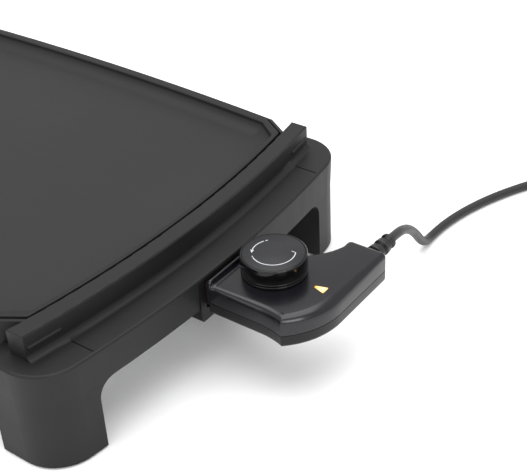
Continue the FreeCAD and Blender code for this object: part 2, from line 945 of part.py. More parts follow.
# ---- controller --------------------------------------------------------------------------
def controller_outline(inset, z):
    """The boomerang outline of the controller, drawn in by this much."""
    x0 = half_length
    centre = V(x0 + knob_x, knob_y, z)
    turn = controller_turn_radius - inset
    back = x0 + controller_back + inset
    near = -controller_half_width + inset
    far = controller_half_width - inset

    def on_turn(angle):
        a = math.radians(angle)
        return V(centre.x + turn * math.cos(a), centre.y + turn * math.sin(a), z)

    corner_angle = toe_angle + inset * 0.9
    toe = on_turn(corner_angle)
    heel = on_turn(0)
    end_y = controller_end_y - inset
    outer_x = heel.x
    inner_x = x0 + arm_inner_x + inset
    r = arm_tip_round
    k = r * (1 - math.sqrt(0.5))
    flare_start = V(x0 + flare_reach - inset * 0.4, near, z)
    flare_middle = V(x0 + flare_reach + 8.5 - inset * 0.6, near - 0.75 + inset * 0.1, z)
    sweep_start = V(x0 + sweep_reach - inset * 0.3, far, z)
    sweep_middle = V(x0 + sweep_reach + 22.0 + inset * 0.75, far + 11.0 + inset * 0.25, z)
    sweep_end = V(inner_x, 54.0, z)
    edges = [
        line(V(back, far, z), V(back, near, z)),
        line(V(back, near, z), flare_start),
        arc(flare_start, flare_middle, toe),
        arc(toe, on_turn(corner_angle / 2), heel),
        line(heel, V(outer_x, end_y - r, z)),
        arc(V(outer_x, end_y - r, z), V(outer_x - k, end_y - k, z), V(outer_x - r, end_y, z)),
        line(V(outer_x - r, end_y, z), V(inner_x + r, end_y, z)),
        arc(V(inner_x + r, end_y, z), V(inner_x + k, end_y - k, z), V(inner_x, end_y - r, z)),
        line(V(inner_x, end_y - r, z), sweep_end),
        arc(sweep_end, sweep_middle, sweep_start),
        line(sweep_start, V(back, far, z)),
    ]
    return Part.Wire(edges)


def cord_exit():
    """The centre of the controller's end face, where the strain relief leaves it."""
    return V(half_length + relief_x, controller_end_y, plug_axis_z)


def nose_block():
    """The insulating nose that carries the contacts and the probe."""
    x0 = half_length - nose_depth
    half = nose_half_width
    z0 = plug_axis_z - nose_height / 2
    body = box(x0, nose_end, -half, half, z0, z0 + nose_height)
    body = fillet_where(
        body,
        nose_edge_round,
        lambda m, e: abs(abs(m.y) - half) < 0.01 and abs(m.z - plug_axis_z) > 5,
    )
    for sign in (-1, 1):
        y = sign * terminal_spacing / 2
        hole = terminal_pin_diameter / 2 + receptacle_clearance + receptacle_wall
        end = V(nose_end - receptacle_end_gap, y, plug_axis_z)
        body = body.cut(rod(hole, V(x0 - 1, y, plug_axis_z), end))
    start = V(x0 - 1, 0, plug_axis_z)
    probe = rod(probe_diameter / 2, start, V(nose_end + 1, 0, plug_axis_z))
    return body.cut(probe)


def receptacles():
    """Spring sleeves inside the nose that grip the terminal pins."""
    pieces = []
    inner = terminal_pin_diameter / 2 + receptacle_clearance
    for sign in (-1, 1):
        y = sign * terminal_spacing / 2
        start = V(half_length - nose_depth + receptacle_end_gap, y, plug_axis_z)
        end = V(nose_end - receptacle_end_gap, y, plug_axis_z)
        pieces.append(tube(inner + receptacle_wall, inner, start, end))
    return group(pieces)


def sensing_probe():
    """The stainless probe tube with a round tip."""
    tip = half_length - probe_reach
    start = V(tip, 0, plug_axis_z)
    end = V(nose_end + probe_tail, 0, plug_axis_z)
    body = rod(probe_diameter / 2, start, end)
    return fillet_where(body, probe_tip_round, lambda m, e: abs(m.x - tip) < 0.01)


def nose_opening(grow):
    """The cut in the case's back wall that the nose passes through."""
    z0 = plug_axis_z - nose_height / 2 - grow
    z1 = plug_axis_z + nose_height / 2 + grow
    x0 = half_length + controller_back - 1
    half = nose_half_width + grow
    return box(x0, x0 + controller_wall + 1, -half, half, z0, z1)


def relief_hole():
    exit_point = cord_exit()
    through = V(0, relief_stem_length + controller_wall, 0)
    return rod(relief_stem_radius + relief_fit, exit_point - through, exit_point + through)


def case_post_places():
    return [(20.0, -19.0), (58.0, -10.0), (66.0, 30.0), (20.0, 20.5)]


def lens_outline(z, inset):
    """A wedge with its point towards the knob."""
    centre = V(half_length + knob_x, knob_y, z)
    angle = math.radians(lens_angle)
    along = V(math.cos(angle), math.sin(angle), 0)
    across = V(-math.sin(angle), math.cos(angle), 0)
    near = centre + along * (lens_near + 1.5 * inset)
    far_mid = centre + along * (lens_far - inset)
    half = lens_half_width - inset * 0.8
    tip = lens_point
    corners = [
        near - across * (tip - 0.4 * inset),
        far_mid - across * half,
        far_mid + across * half,
        near + across * (tip - 0.4 * inset),
    ]
    return Part.makePolygon(corners + [corners[0]])


def upper_case():
    """The glossy upper half of the controller, with a raised lip along its back."""
    height = controller_top - parting_z - parting_gap
    z0 = parting_z + parting_gap
    body = prism(controller_outline(0, z0), height)
    body = fillet_where(body, edge_round, lambda m, e: abs(m.z - controller_top) < 0.01)
    hollow = prism(controller_outline(controller_wall, z0 - 1), height - controller_wall + 1)
    lip_outline = prism(controller_outline(0, controller_top - lip_depth), lip_depth + lip_height)
    x0 = half_length + controller_back
    w = controller_half_width
    low = controller_top - lip_depth
    lip_zone = box(x0 - 1, x0 + lip_width, -w, w, low, controller_top + lip_height)
    lip = lip_outline.common(lip_zone)
    lip = fillet_where(
        lip,
        lip_corner_round,
        lambda m, e: abs(m.z - controller_top - lip_height) < 0.01 and abs(abs(m.y) - w) < 0.1,
    )
    lip = fillet_where(
        lip,
        lip_edge_round,
        lambda m, e: m.z > controller_top + lip_height - 0.01 and abs(m.y) < w - 3,
    )
    body = body.fuse(lip)
    body = body.cut(hollow)
    posts = []
    for x, y in case_post_places():
        at = V(half_length + x, y, z0)
        post = Part.makeCylinder(case_post_radius, height - case_post_gap, at)
        pilot = Part.makeCylinder(case_screw_radius, height - case_pilot_gap, at)
        posts.append(post.cut(pilot))
    body = body.fuse(posts)
    spindle_hole = spindle_radius + spindle_clearance + bush_wall
    cuts = [
        nose_opening(nose_fit),
        relief_hole(),
        Part.makeCylinder(spindle_hole, 10, V(spindle_x, knob_y, controller_top - 6)),
        prism(lens_outline(controller_top - 5, 0), 10),
    ]
    return body.cut(cuts).removeSplitter()


def lower_case():
    """The lower half of the controller."""
    body = prism(controller_outline(0, controller_bottom), parting_height)
    body = fillet_where(
        body, bottom_round, lambda m, e: abs(m.z - controller_bottom) < 0.01
    )
    wall = controller_wall
    hollow = prism(controller_outline(wall, controller_bottom + wall), parting_height)
    body = body.cut(hollow)
    posts = []
    pilots = []
    for x, y in case_post_places():
        at = V(half_length + x, y, controller_bottom)
        posts.append(Part.makeCylinder(case_post_radius, parting_height, at))
        clear = case_screw_radius + case_hole_clearance
        recess = case_head_sink + case_head_height
        pilots.append(Part.makeCylinder(clear, parting_height + 1, at))
        pilots.append(Part.makeCylinder(case_head_radius + screw_clearance, recess, at))
    body = body.fuse(posts).cut(pilots)
    spacer = prism(controller_outline(1.0, parting_z), parting_gap)
    spacer = spacer.cut(prism(controller_outline(wall, parting_z - 1), parting_gap + 2))
    body = body.fuse(spacer)
    return body.cut([nose_opening(nose_fit), relief_hole()]).removeSplitter()


def case_screws():
    pieces = []
    for x, y in case_post_places():
        low = V(half_length + x, y, controller_bottom + case_head_sink)
        seat = V(low.x, low.y, low.z + case_head_height)
        tip_z = parting_z + parting_gap + case_screw_bite
        head = Part.makeCylinder(case_head_radius, case_head_height, low)
        shank = Part.makeCylinder(case_screw_radius, tip_z - seat.z, seat)
        pieces.append(head.fuse(shank).removeSplitter())
    return group(pieces)


def knob():
    """The thermostat knob: a cup with two fine grooves near its foot."""
    centre = V(spindle_x, knob_y, 0)
    z0 = controller_top + knob_gap
    body = Part.makeCylinder(knob_radius, knob_height, V(centre.x, centre.y, z0))
    top = z0 + knob_height
    body = fillet_where(body, knob_edge_round, lambda m, e: abs(m.z - top) < 0.01)
    hollow = Part.makeCylinder(
        knob_radius - knob_wall, knob_height - knob_crown, V(centre.x, centre.y, z0)
    )
    recess = Part.makeCylinder(
        knob_disc_radius, knob_disc_thickness, V(centre.x, centre.y, top - knob_disc_thickness)
    )
    body = body.cut([hollow, recess])
    for level in knob_groove_levels:
        ring = Part.makeCylinder(
            knob_radius + 1, knob_groove_width, V(centre.x, centre.y, z0 + level)
        )
        core = Part.makeCylinder(
            knob_radius - knob_groove_depth,
            knob_groove_width,
            V(centre.x, centre.y, z0 + level),
        )
        body = body.cut(ring.cut(core))
    foot = V(centre.x, centre.y, z0 + knob_boss_gap)
    boss_top = z0 + knob_height - knob_crown + knob_boss_sink
    boss = Part.makeCylinder(spindle_radius + knob_boss_wall, boss_top - foot.z, foot)
    bore = Part.makeCylinder(spindle_radius, boss_top - z0, V(centre.x, centre.y, z0 - 1))
    return body.fuse(boss).cut(bore).removeSplitter()


def knob_disc():
    """The satin insert in the knob's top."""
    z = controller_top + knob_gap + knob_height - knob_disc_thickness
    at = V(spindle_x, knob_y, z)
    return Part.makeCylinder(knob_disc_radius - knob_disc_gap, knob_disc_thickness, at)


def knob_spindle():
    """The spindle that the knob turns, down to the thermostat's screw."""
    low = plug_axis_z + spindle_foot_rise
    at = V(spindle_x, knob_y, low)
    body = Part.makeCylinder(spindle_radius, spindle_top - low, at)
    flat_x = at.x + spindle_radius - spindle_flat_depth
    wide = spindle_radius + 1
    flat_low = controller_top + spindle_flat_rise
    flat = box(flat_x, flat_x + 2, at.y - wide, at.y + wide, flat_low, spindle_top + 1)
    return body.cut(flat)


def spindle_clip():
    """The flat spring that takes up play between spindle and knob."""
    x = spindle_x + spindle_radius - spindle_flat_depth
    half = clip_width / 2
    low = controller_top + spindle_flat_rise + clip_gap
    high = spindle_top - clip_gap
    return box(x, x + clip_thickness, knob_y - half, knob_y + half, low, high)


def spindle_bush():
    """The bearing bush for the spindle, fixed in the upper case."""
    inner = spindle_radius + spindle_clearance
    low = V(spindle_x, knob_y, controller_top - bush_sink)
    ceiling = V(spindle_x, knob_y, controller_top - controller_wall)
    high = V(spindle_x, knob_y, controller_top + bush_proud)
    body = tube(inner + bush_wall, inner, low, high)
    flange = tube(inner + bush_flange_width, inner, low, ceiling)
    return body.fuse(flange).removeSplitter()


def thermostat_frame():
    """The folded steel frame that carries the contact blade under the spindle."""
    x0 = spindle_x - frame_back
    x1 = spindle_x + frame_front
    y0 = knob_y - frame_half_width
    y1 = knob_y + frame_half_width
    base = box(x0, x1, y0, y1, case_floor, case_floor + frame_sheet)
    riser = box(x0, x0 + frame_sheet, y0, y1, case_floor, plug_axis_z - frame_drop)
    hole = probe_diameter / 2 + frame_probe_gap
    probe_hole = rod(hole, V(x0 - 1, 0, plug_axis_z), V(x0 + frame_sheet + 1, 0, plug_axis_z))
    return base.fuse(riser.cut(probe_hole)).removeSplitter()


def contact_blade():
    """The bimetal blade with its silver contact, pressed by the spindle."""
    z = plug_axis_z + contact_rise
    x0 = spindle_x - contact_blade_half_length
    x1 = spindle_x + contact_blade_half_length
    y0 = knob_y - contact_blade_half_width
    y1 = knob_y + contact_blade_half_width
    blade = box(x0, x1, y0, y1, z, z + contact_blade_thickness)
    post = box(x1 - contact_post_length, x1, y0, y1, case_floor + frame_sheet, z)
    under = V(spindle_x - contact_reach, knob_y, z - contact_button_height)
    button = Part.makeCylinder(contact_button_radius, contact_button_height, under)
    return blade.fuse([post, button]).removeSplitter()


def fixed_contact():
    """The fixed contact that the blade opens and closes on."""
    low = case_floor + frame_sheet
    high = plug_axis_z + contact_rise - contact_button_height
    at = V(spindle_x - contact_reach, knob_y, low)
    return Part.makeCylinder(fixed_contact_radius, high - low, at)


def indicator_lens():
    """The amber wedge lens, flush in the top."""
    low = controller_top - controller_wall
    return prism(lens_outline(low, lens_gap), controller_wall + lens_proud)


def indicator_lamp():
    """The neon lamp under the lens."""
    z = controller_top - controller_wall - lamp_drop
    start = V(spindle_x + lamp_reach, knob_y + lamp_side, z)
    end = V(start.x + lamp_length, start.y, z)
    glass = rod(lamp_radius, start, end)
    return fillet_where(glass, 1.6, lambda m, e: abs(m.x - end.x) < 0.01)


def terminal_block():
    """The block in the arm where the lead's cores are clamped."""
    x = half_length + relief_x
    half = terminal_block_half_length
    y1 = controller_end_y - terminal_block_inset
    y0 = y1 - terminal_block_width
    top = case_floor + terminal_block_height
    body = box(x - half, x + half, y0, y1, case_floor, top)
    for dx in (-clamp_pitch, 0, clamp_pitch):
        at = V(x + dx, (y0 + y1) / 2, top - clamp_depth)
        body = body.cut(Part.makeCylinder(clamp_radius, clamp_depth + 1, at))
    return body


def strain_relief():
    """The ribbed boot that keeps the lead from kinking at the controller."""
    exit_point = cord_exit()
    y = exit_point.y
    inner = cord_diameter / 2
    body = Part.makeCone(
        relief_root_radius, relief_tip_radius, relief_length, exit_point, V(0, 1, 0)
    )
    slope = (relief_root_radius - relief_tip_radius) / relief_length
    for k in range(relief_groove_count):
        at = relief_groove_start + relief_groove_pitch * k
        start = V(exit_point.x, y + at, exit_point.z)
        end = V(exit_point.x, y + at + relief_groove_width, exit_point.z)
        deep = relief_root_radius - slope * at - relief_groove_depth
        body = body.cut(rod(relief_root_radius + 1, start, end).cut(rod(deep, start, end)))
    root = V(exit_point.x, y - relief_stem_length, exit_point.z)
    stem = rod(relief_stem_radius, root, exit_point)
    collar = rod(relief_root_radius, root, root + V(0, relief_collar_width, 0))
    body = body.fuse([stem, collar])
    bore = rod(inner, root - V(0, 1, 0), exit_point + V(0, relief_length + 1, 0))
    return body.cut(bore).removeSplitter()


def cord_route():
    """Chosen points of the lead, from the strain relief to the coil."""
    x = half_length
    floor = cord_floor
    exit_point = cord_exit()
    return [
        V(exit_point.x, exit_point.y + relief_length, exit_point.z),
        V(x + 62.3, 98, 56.0),
        V(x + 59.0, 113, 49.5),
        V(x + 55.0, 129, 38.5),
        V(x + 51.5, 144, 24.5),
        V(x + 49.2, 156, 11.0),
        V(x + 47.8, 166.5, 4.0),
        V(x + 47.2, 180, floor),
        V(x + 48.6, 198, floor),
        V(x + 52.6, 218, floor),
        V(x + 59.6, 240, floor),
        V(x + 68.8, 261, floor),
        V(x + 79.8, 281, floor),
        V(x + 92.5, 299, floor),
        V(x + 106.5, 314, floor),
        V(x + 122.5, 325, floor),
    ]


def coil_centre():
    """The coil lies to the right of the lead's last run, tangent to it."""
    points = cord_route()
    last = points[-1]
    heading = (last - points[-2]).normalize()
    reach = coil_mean_radius
    return V(last.x + heading.y * reach, last.y - heading.x * reach, 0)


def tail_route():
    """Chosen points of the short run from the coil to the plug."""
    centre = coil_centre()
    mean = coil_mean_radius
    floor = cord_floor
    axis = mains_plug_thickness / 2
    return [
        V(centre.x + mean, centre.y - 1, floor),
        V(centre.x + mean + 1.0, centre.y - 12, floor + 0.4),
        V(centre.x + mean + 3.5, centre.y - 23, floor + 2.2),
        V(centre.x + mean + 7.0, centre.y - 34, floor + 5.2),
        V(centre.x + mean + 9.5, centre.y - 45, axis - 0.8),
        V(centre.x + mean + 10.0, centre.y - 56, axis),
    ]


def report_pipe(name, points, solid):
    """Prints a cord's radii, length and volume against its section times its length."""
    radii = fillet_radii(points)
    path = rounded_path(points, radii)
    section = math.pi * cord_diameter**2 / 4
    share = solid.Volume / (section * path.Length)
    print(name, "length %.1f" % path.Length, "volume share %.4f" % share)
    print("  radii", " ".join("%.0f" % r for r in radii))


def cord_tube(name, points):
    solid = pipe(rounded_path(points, fillet_radii(points)), cord_diameter / 2)
    report_pipe(name, points, solid)
    return solid


def cord_coil():
    """The outer shape of the coiled length of lead."""
    centre = coil_centre()
    top = V(centre.x, centre.y, coil_height)
    return tube(coil_outer_radius, coil_inner_radius, V(centre.x, centre.y, 0), top)


def cord_tie():
    """The strap round one side of the coil."""
    centre = coil_centre()
    y0 = centre.y + coil_inner_radius - tie_wall
    y1 = centre.y + coil_outer_radius + tie_wall
    half = tie_half_width
    outer = box(centre.x - half, centre.x + half, y0, y1, 0, coil_height + tie_wall)
    under = V(centre.x, centre.y, -1)
    top = V(centre.x, centre.y, coil_height)
    return outer.cut(tube(coil_outer_radius, coil_inner_radius, under, top))


def plug_end():
    points = tail_route()
    return points[-1]


def rounded_rectangle(half_x, half_z, radius, centre):
    """A rounded rectangle across the plug's axis, which runs along Y."""
    x, y, z = centre.x, centre.y, centre.z
    k = radius * (1 - math.sqrt(0.5))
    edges = []
    corners = [(1, 1), (-1, 1), (-1, -1), (1, -1)]
    points = []
    for sx, sz in corners:
        flat = V(x + sx * half_x, y, z + sz * (half_z - radius))
        crown = V(x + sx * (half_x - k), y, z + sz * (half_z - k))
        top = V(x + sx * (half_x - radius), y, z + sz * half_z)
        order = (flat, crown, top) if sx * sz > 0 else (top, crown, flat)
        points.append(order)
    for i, (first, middle, last) in enumerate(points):
        edges.append(arc(first, middle, last))
        edges.append(line(last, points[(i + 1) % 4][0]))
    return Part.Wire(edges)


def mains_plug():
    """The moulded plug body, widening from the lead to the blade face."""
    start = plug_end()
    half_w = mains_plug_width / 2
    half_t = mains_plug_thickness / 2 - cord_floor_gap
    sections = [
        (0.0, 6.0, 6.0, 5.0),
        (10.0, 8.0, 7.5, 6.0),
        (20.0, half_w - 1.0, half_t - 1.0, 8.0),
        (mains_plug_length, half_w, half_t, 8.0),
    ]
    wires = []
    for along, wide, thick, radius in sections:
        centre = V(start.x, start.y - along, start.z)
        wires.append(rounded_rectangle(wide, thick, radius, centre))
    return loft(wires)


def plug_blades():
    """Three flat blades: two slanted and one upright."""
    start = plug_end()
    face_y = start.y - mains_plug_length
    pieces = []
    for angle, tilt in ((150.0, 60.0), (30.0, -60.0), (-90.0, 0.0)):
        a = math.radians(angle)
        radius = blade_circle_radius
        centre = V(start.x + radius * math.cos(a), 0, start.z + radius * math.sin(a) * 0.8)
        blade = box(
            centre.x - blade_thickness / 2,
            centre.x + blade_thickness / 2,
            face_y - blade_length,
            face_y + blade_root,
            centre.z - blade_width / 2,
            centre.z + blade_width / 2,
        )
        blade.rotate(V(centre.x, 0, centre.z), V(0, 1, 0), tilt)
        pieces.append(blade)
    return group(pieces)


# ---- write every piece -------------------------------------------------------------------
def save(name, shape):
    """Shifts the piece into the row frame and writes it as its own STEP file."""
    if not shape.isValid():
        print("NOT VALID", name)
    placed = moved(shape, origin_shift, 0, 0)
    placed.exportStep("parts/" + name + ".step")


def main():
    os.makedirs("parts", exist_ok=True)
    plug = mains_plug()
    blades = plug_blades()
    right = end_housing(True)
    left = mirrored(end_housing(False), V(1, 0, 0))
    rail = side_rail()
    plate = griddle_plate()
    floor_zone = plate_floor_zone()
    one_foot = foot()
    feet = []
    for piece in both_sides(one_foot):
        feet.extend(both_ends(piece))
    pieces = {
        "griddle_plate": plate.common(floor_zone),
        "plate_rim": plate.cut(floor_zone),
        "heating_element": heating_element(),
        "terminal_pins": terminal_pins(),
        "terminal_insulators": terminal_insulators(),
        "probe_sleeve": probe_sleeve(),
        "socket_guard": socket_guard(),
        "end_housing_right": right,
        "end_housing_left": left,
        "side_rail_back": rail,
        "side_rail_front": mirrored(rail, V(0, 1, 0)),
        "heat_shield": reflector(),
        "plate_spacers": plate_spacers(),
        "plate_screws": plate_screws(),
        "rail_screws": rail_screws(),
        "rubber_feet": group(feet),
        "tray_runners": tray_runners(),
        "drip_tray": drip_tray(),
        "controller_upper_case": upper_case(),
        "controller_lower_case": lower_case(),
        "controller_nose": nose_block(),
        "contact_receptacles": receptacles(),
        "sensing_probe": sensing_probe(),
        "case_screws": case_screws(),
        "spindle_bush": spindle_bush(),
        "thermostat_frame": thermostat_frame(),
        "contact_blade": contact_blade(),
        "fixed_contact": fixed_contact(),
        "indicator_lens": indicator_lens(),
        "indicator_lamp": indicator_lamp(),
        "terminal_block": terminal_block(),
        "thermostat_knob": knob(),
        "knob_disc": knob_disc(),
        "knob_spindle": knob_spindle(),
        "spindle_clip": spindle_clip(),
        "strain_relief": strain_relief(),
        "power_cord": cord_tube("power_cord", cord_route()),
        "power_cord_tail": cord_tube("power_cord_tail", tail_route()),
        "cord_coil": cord_coil(),
        "cord_tie": cord_tie(),
        "plug_body": plug,
        "plug_blades": blades,
    }
    for name, shape in pieces.items():
        save(name, shape)
    print(len(pieces), "pieces")


main()
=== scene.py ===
import logging
import math
from collections.abc import Iterable, Sequence
from dataclasses import dataclass
from enum import Enum
from functools import lru_cache

import bmesh
import bpy
from mathutils import Matrix, Vector


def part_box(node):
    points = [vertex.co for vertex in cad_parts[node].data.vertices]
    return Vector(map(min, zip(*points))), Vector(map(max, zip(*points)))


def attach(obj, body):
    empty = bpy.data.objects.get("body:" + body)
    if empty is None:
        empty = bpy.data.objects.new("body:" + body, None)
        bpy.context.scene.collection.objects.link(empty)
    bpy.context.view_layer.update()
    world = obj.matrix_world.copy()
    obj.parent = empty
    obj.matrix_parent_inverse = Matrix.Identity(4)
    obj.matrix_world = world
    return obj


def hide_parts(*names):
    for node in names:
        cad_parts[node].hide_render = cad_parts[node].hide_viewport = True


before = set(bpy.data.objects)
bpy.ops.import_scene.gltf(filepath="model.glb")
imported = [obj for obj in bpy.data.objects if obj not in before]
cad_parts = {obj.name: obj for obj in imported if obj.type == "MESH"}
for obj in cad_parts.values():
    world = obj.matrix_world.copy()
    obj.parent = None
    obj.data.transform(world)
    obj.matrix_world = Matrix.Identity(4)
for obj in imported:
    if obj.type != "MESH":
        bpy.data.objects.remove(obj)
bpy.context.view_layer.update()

log = logging.getLogger("griddle")

Rgb = tuple[float, float, float]
Point = tuple[float, float, float]
Ring = list[Vector]


def tone(red: int, green: int, blue: int) -> Rgb:
    """A linear colour from display values.

    Args:
        red: Red, 0 to 255.
        green: Green, 0 to 255.
        blue: Blue, 0 to 255.

    Returns:
        The same colour in linear light.
    """
    parts = []
    for value in (red, green, blue):
        share = value / 255
        parts.append(share / 12.92 if share <= 0.04045 else ((share + 0.055) / 1.055) ** 2.4)
    return (parts[0], parts[1], parts[2])


# ---- shader arithmetic -------------------------------------------------------------------
class Wire:
    """A shader output that takes part in arithmetic and adds its Math nodes as it goes."""

    def __init__(self, sheet: "NodeSheet", output: bpy.types.NodeSocket) -> None:
        """Keeps the node tree and the output that this stands for."""
        self.sheet = sheet
        self.output = output

    def _math(self, operation: str, *values: "Wire | float") -> "Wire":
        """One Math node on these values."""
        return self.sheet.node("ShaderNodeMath", {"operation": operation}, dict(enumerate(values)))

    def __add__(self, other: "Wire | float") -> "Wire":
        """Sum."""
        return self._math("ADD", self, other)

    def __radd__(self, other: "Wire | float") -> "Wire":
        """Sum, with the number first."""
        return self._math("ADD", other, self)

    def __sub__(self, other: "Wire | float") -> "Wire":
        """Difference."""
        return self._math("SUBTRACT", self, other)

    def __rsub__(self, other: "Wire | float") -> "Wire":
        """Difference, with the number first."""
        return self._math("SUBTRACT", other, self)

    def __mul__(self, other: "Wire | float") -> "Wire":
        """Product."""
        return self._math("MULTIPLY", self, other)

    def __pow__(self, other: "Wire | float") -> "Wire":
        """Power."""
        return self._math("POWER", self, other)

    def step(self, low: float, high: float) -> "Wire":
        """A smooth step.

        Args:
            low: Value at which the result is 0.
            high: Value at which the result is 1.

        Returns:
            The step, from 0 to 1.
        """
        settings = {"interpolation_type": "SMOOTHSTEP"}
        return self.sheet.node("ShaderNodeMapRange", settings, {0: self, 1: low, 2: high})


class NodeSheet:
    """The node tree of one material."""

    def __init__(self, name: str) -> None:
        """Makes an empty material with a Principled surface.

        Args:
            name: The material's name.
        """
        self.material = bpy.data.materials.new(name)
        self.material.use_nodes = True
        self.tree = self.material.node_tree
        self.shader = self.tree.nodes["Principled BSDF"]

    def node(
        self,
        kind: str,
        settings: dict[str, object] | None = None,
        inputs: dict[int | str, object] | None = None,
        output: int | str = 0,
    ) -> Wire:
        """Adds any node.

        Args:
            kind: The node's type.
            settings: Its own settings, which are made first.
            inputs: Values or links of its sockets, by index or name.
            output: Which output to return.

        Returns:
            That output.
        """
        made = self.tree.nodes.new(kind)
        for key, value in (settings or {}).items():
            setattr(made, key, value)
        for key, value in (inputs or {}).items():
            self._feed(made.inputs[key], value)
        return Wire(self, made.outputs[output])

    def _feed(self, target: bpy.types.NodeSocket, value: object) -> None:
        """Links a wire, or sets a plain value, a colour given as three numbers included.

        Args:
            target: The socket.
            value: A wire, a number, a vector or a colour.
        """
        if isinstance(value, Wire):
            self.tree.links.new(value.output, target)
        elif target.type == "RGBA" and len(value) == 3:
            target.default_value = (*value, 1.0)
        else:
            target.default_value = value

    def place(self) -> Wire:
        """The surface point in the object's own coordinates, in metres."""
        return self.node("ShaderNodeTexCoord", output="Object")

    def axis(self, name: str) -> Wire:
        """One coordinate of the surface point: X, Y or Z."""
        return self.node("ShaderNodeSeparateXYZ", inputs={0: self.place()}, output=name)

    def distance(self, centre: tuple[float, float]) -> Wire:
        """Distance of the surface point from an upright axis at this X and Y.

        Args:
            centre: The axis.

        Returns:
            The distance in metres.
        """
        across = self.axis("X") - centre[0]
        along = self.axis("Y") - centre[1]
        return (across * across + along * along) ** 0.5

    def noise(self, size: float, detail: float = 3.0, rough: float = 0.5) -> Wire:
        """Cloudy noise.

        Args:
            size: Size of one blot in metres.
            detail: Octaves.
            rough: How much the finer octaves weigh.

        Returns:
            The noise, from 0 to 1.
        """
        inputs = {"Vector": self.place(), "Scale": 1 / size, "Detail": detail, "Roughness": rough}
        return self.node("ShaderNodeTexNoise", inputs=inputs)

    def stretched_noise(self, sizes: Point, detail: float = 3.0) -> Wire:
        """Noise drawn out by its own size along each axis, for brushing and scuffs.

        Args:
            sizes: Size of one blot along X, Y and Z, in metres.
            detail: Octaves.

        Returns:
            The noise, from 0 to 1.
        """
        inputs = {0: self.place(), 1: tuple(1 / size for size in sizes)}
        spread = self.node("ShaderNodeVectorMath", {"operation": "MULTIPLY"}, inputs)
        inputs = {"Vector": spread, "Scale": 1.0, "Detail": detail}
        return self.node("ShaderNodeTexNoise", inputs=inputs)

    def cells(self, size: float) -> Wire:
        """Distance to the nearest point of a scatter of cells of this size."""
        return self.node("ShaderNodeTexVoronoi", inputs={"Vector": self.place(), "Scale": 1 / size})

    def blend(self, share: Wire | float, first: Wire | Rgb, second: Wire | Rgb) -> Wire:
        """The first colour where share is 0, the second where it is 1."""
        settings = {"data_type": "RGBA"}
        return self.node("ShaderNodeMix", settings, {0: share, 6: first, 7: second}, 2)

    def relief(self, height: Wire, depth: float, under: Wire | None = None) -> Wire:
        """A bumped normal.

        Args:
            height: The height, from 0 to 1.
            depth: Height of a full step in metres.
            under: A bumped normal that this one is laid over.

        Returns:
            The normal.
        """
        inputs: dict[int | str, object] = {"Height": height, "Distance": depth, "Strength": 1.0}
        if under is not None:
            inputs["Normal"] = under
        return self.node("ShaderNodeBump", inputs=inputs)

    def finish(self, **sockets: object) -> bpy.types.Material:
        """Feeds the Principled surface.

        Args:
            sockets: Values or links by the socket's name, with _ for a space.

        Returns:
            The material.
        """
        for key, value in sockets.items():
            self._feed(self.shader.inputs[key.replace("_", " ")], value)
        return self.material


# ---- finishes ----------------------------------------------------------------------------
@dataclass(frozen=True)
class Finish:
    """A surface finish; each kind paints its own material."""

    name: str

    def paint(self, sheet: NodeSheet) -> bpy.types.Material:
        """Builds the nodes; each kind of finish has its own.

        Args:
            sheet: The material's nodes.

        Returns:
            The material.
        """
        raise NotImplementedError(self.name)


@lru_cache(maxsize=None)
def material_of(finish: Finish) -> bpy.types.Material:
    """The material of a finish, made once."""
    return finish.paint(NodeSheet(finish.name))


@dataclass(frozen=True)
class MouldedPlastic(Finish):
    """Matt moulded plastic with a spark-eroded grain and slightly uneven sheen."""

    colour: Rgb
    roughness: float = 0.5
    grain: float = 0.00035
    depth: float = 0.000018
    unevenness: float = 0.12
    specular: float = 0.5

    def paint(self, sheet: NodeSheet) -> bpy.types.Material:
        """Fine grain over a faint waviness, with soft patches of sheen.

        Args:
            sheet: The material's nodes.

        Returns:
            The material.
        """
        patches = sheet.noise(0.045, 3.0)
        rubbed = sheet.stretched_noise((0.03, 0.006, 0.02), 4.0)
        grain = sheet.noise(self.grain, 2.0, 0.6)
        pits = sheet.cells(self.grain * 1.7)
        fleck = sheet.noise(self.grain * 3, 2.0)
        lighter = tuple(part * (1 + self.unevenness) for part in self.colour)
        darker = tuple(part * (1 - self.unevenness) for part in self.colour)
        shade = patches.step(0.3, 0.7) * 0.7 + fleck.step(0.35, 0.65) * 0.3
        sheen = self.roughness + (patches - 0.5) * 0.1 + (rubbed - 0.5) * 0.08
        texture = grain * 0.65 + pits * 0.35
        waviness = sheet.relief(sheet.noise(0.018, 1.0), 0.00002)
        return sheet.finish(
            Base_Color=sheet.blend(shade, darker, lighter),
            Roughness=sheen,
            Normal=sheet.relief(texture, self.depth, waviness),
            Specular_IOR_Level=self.specular,
        )


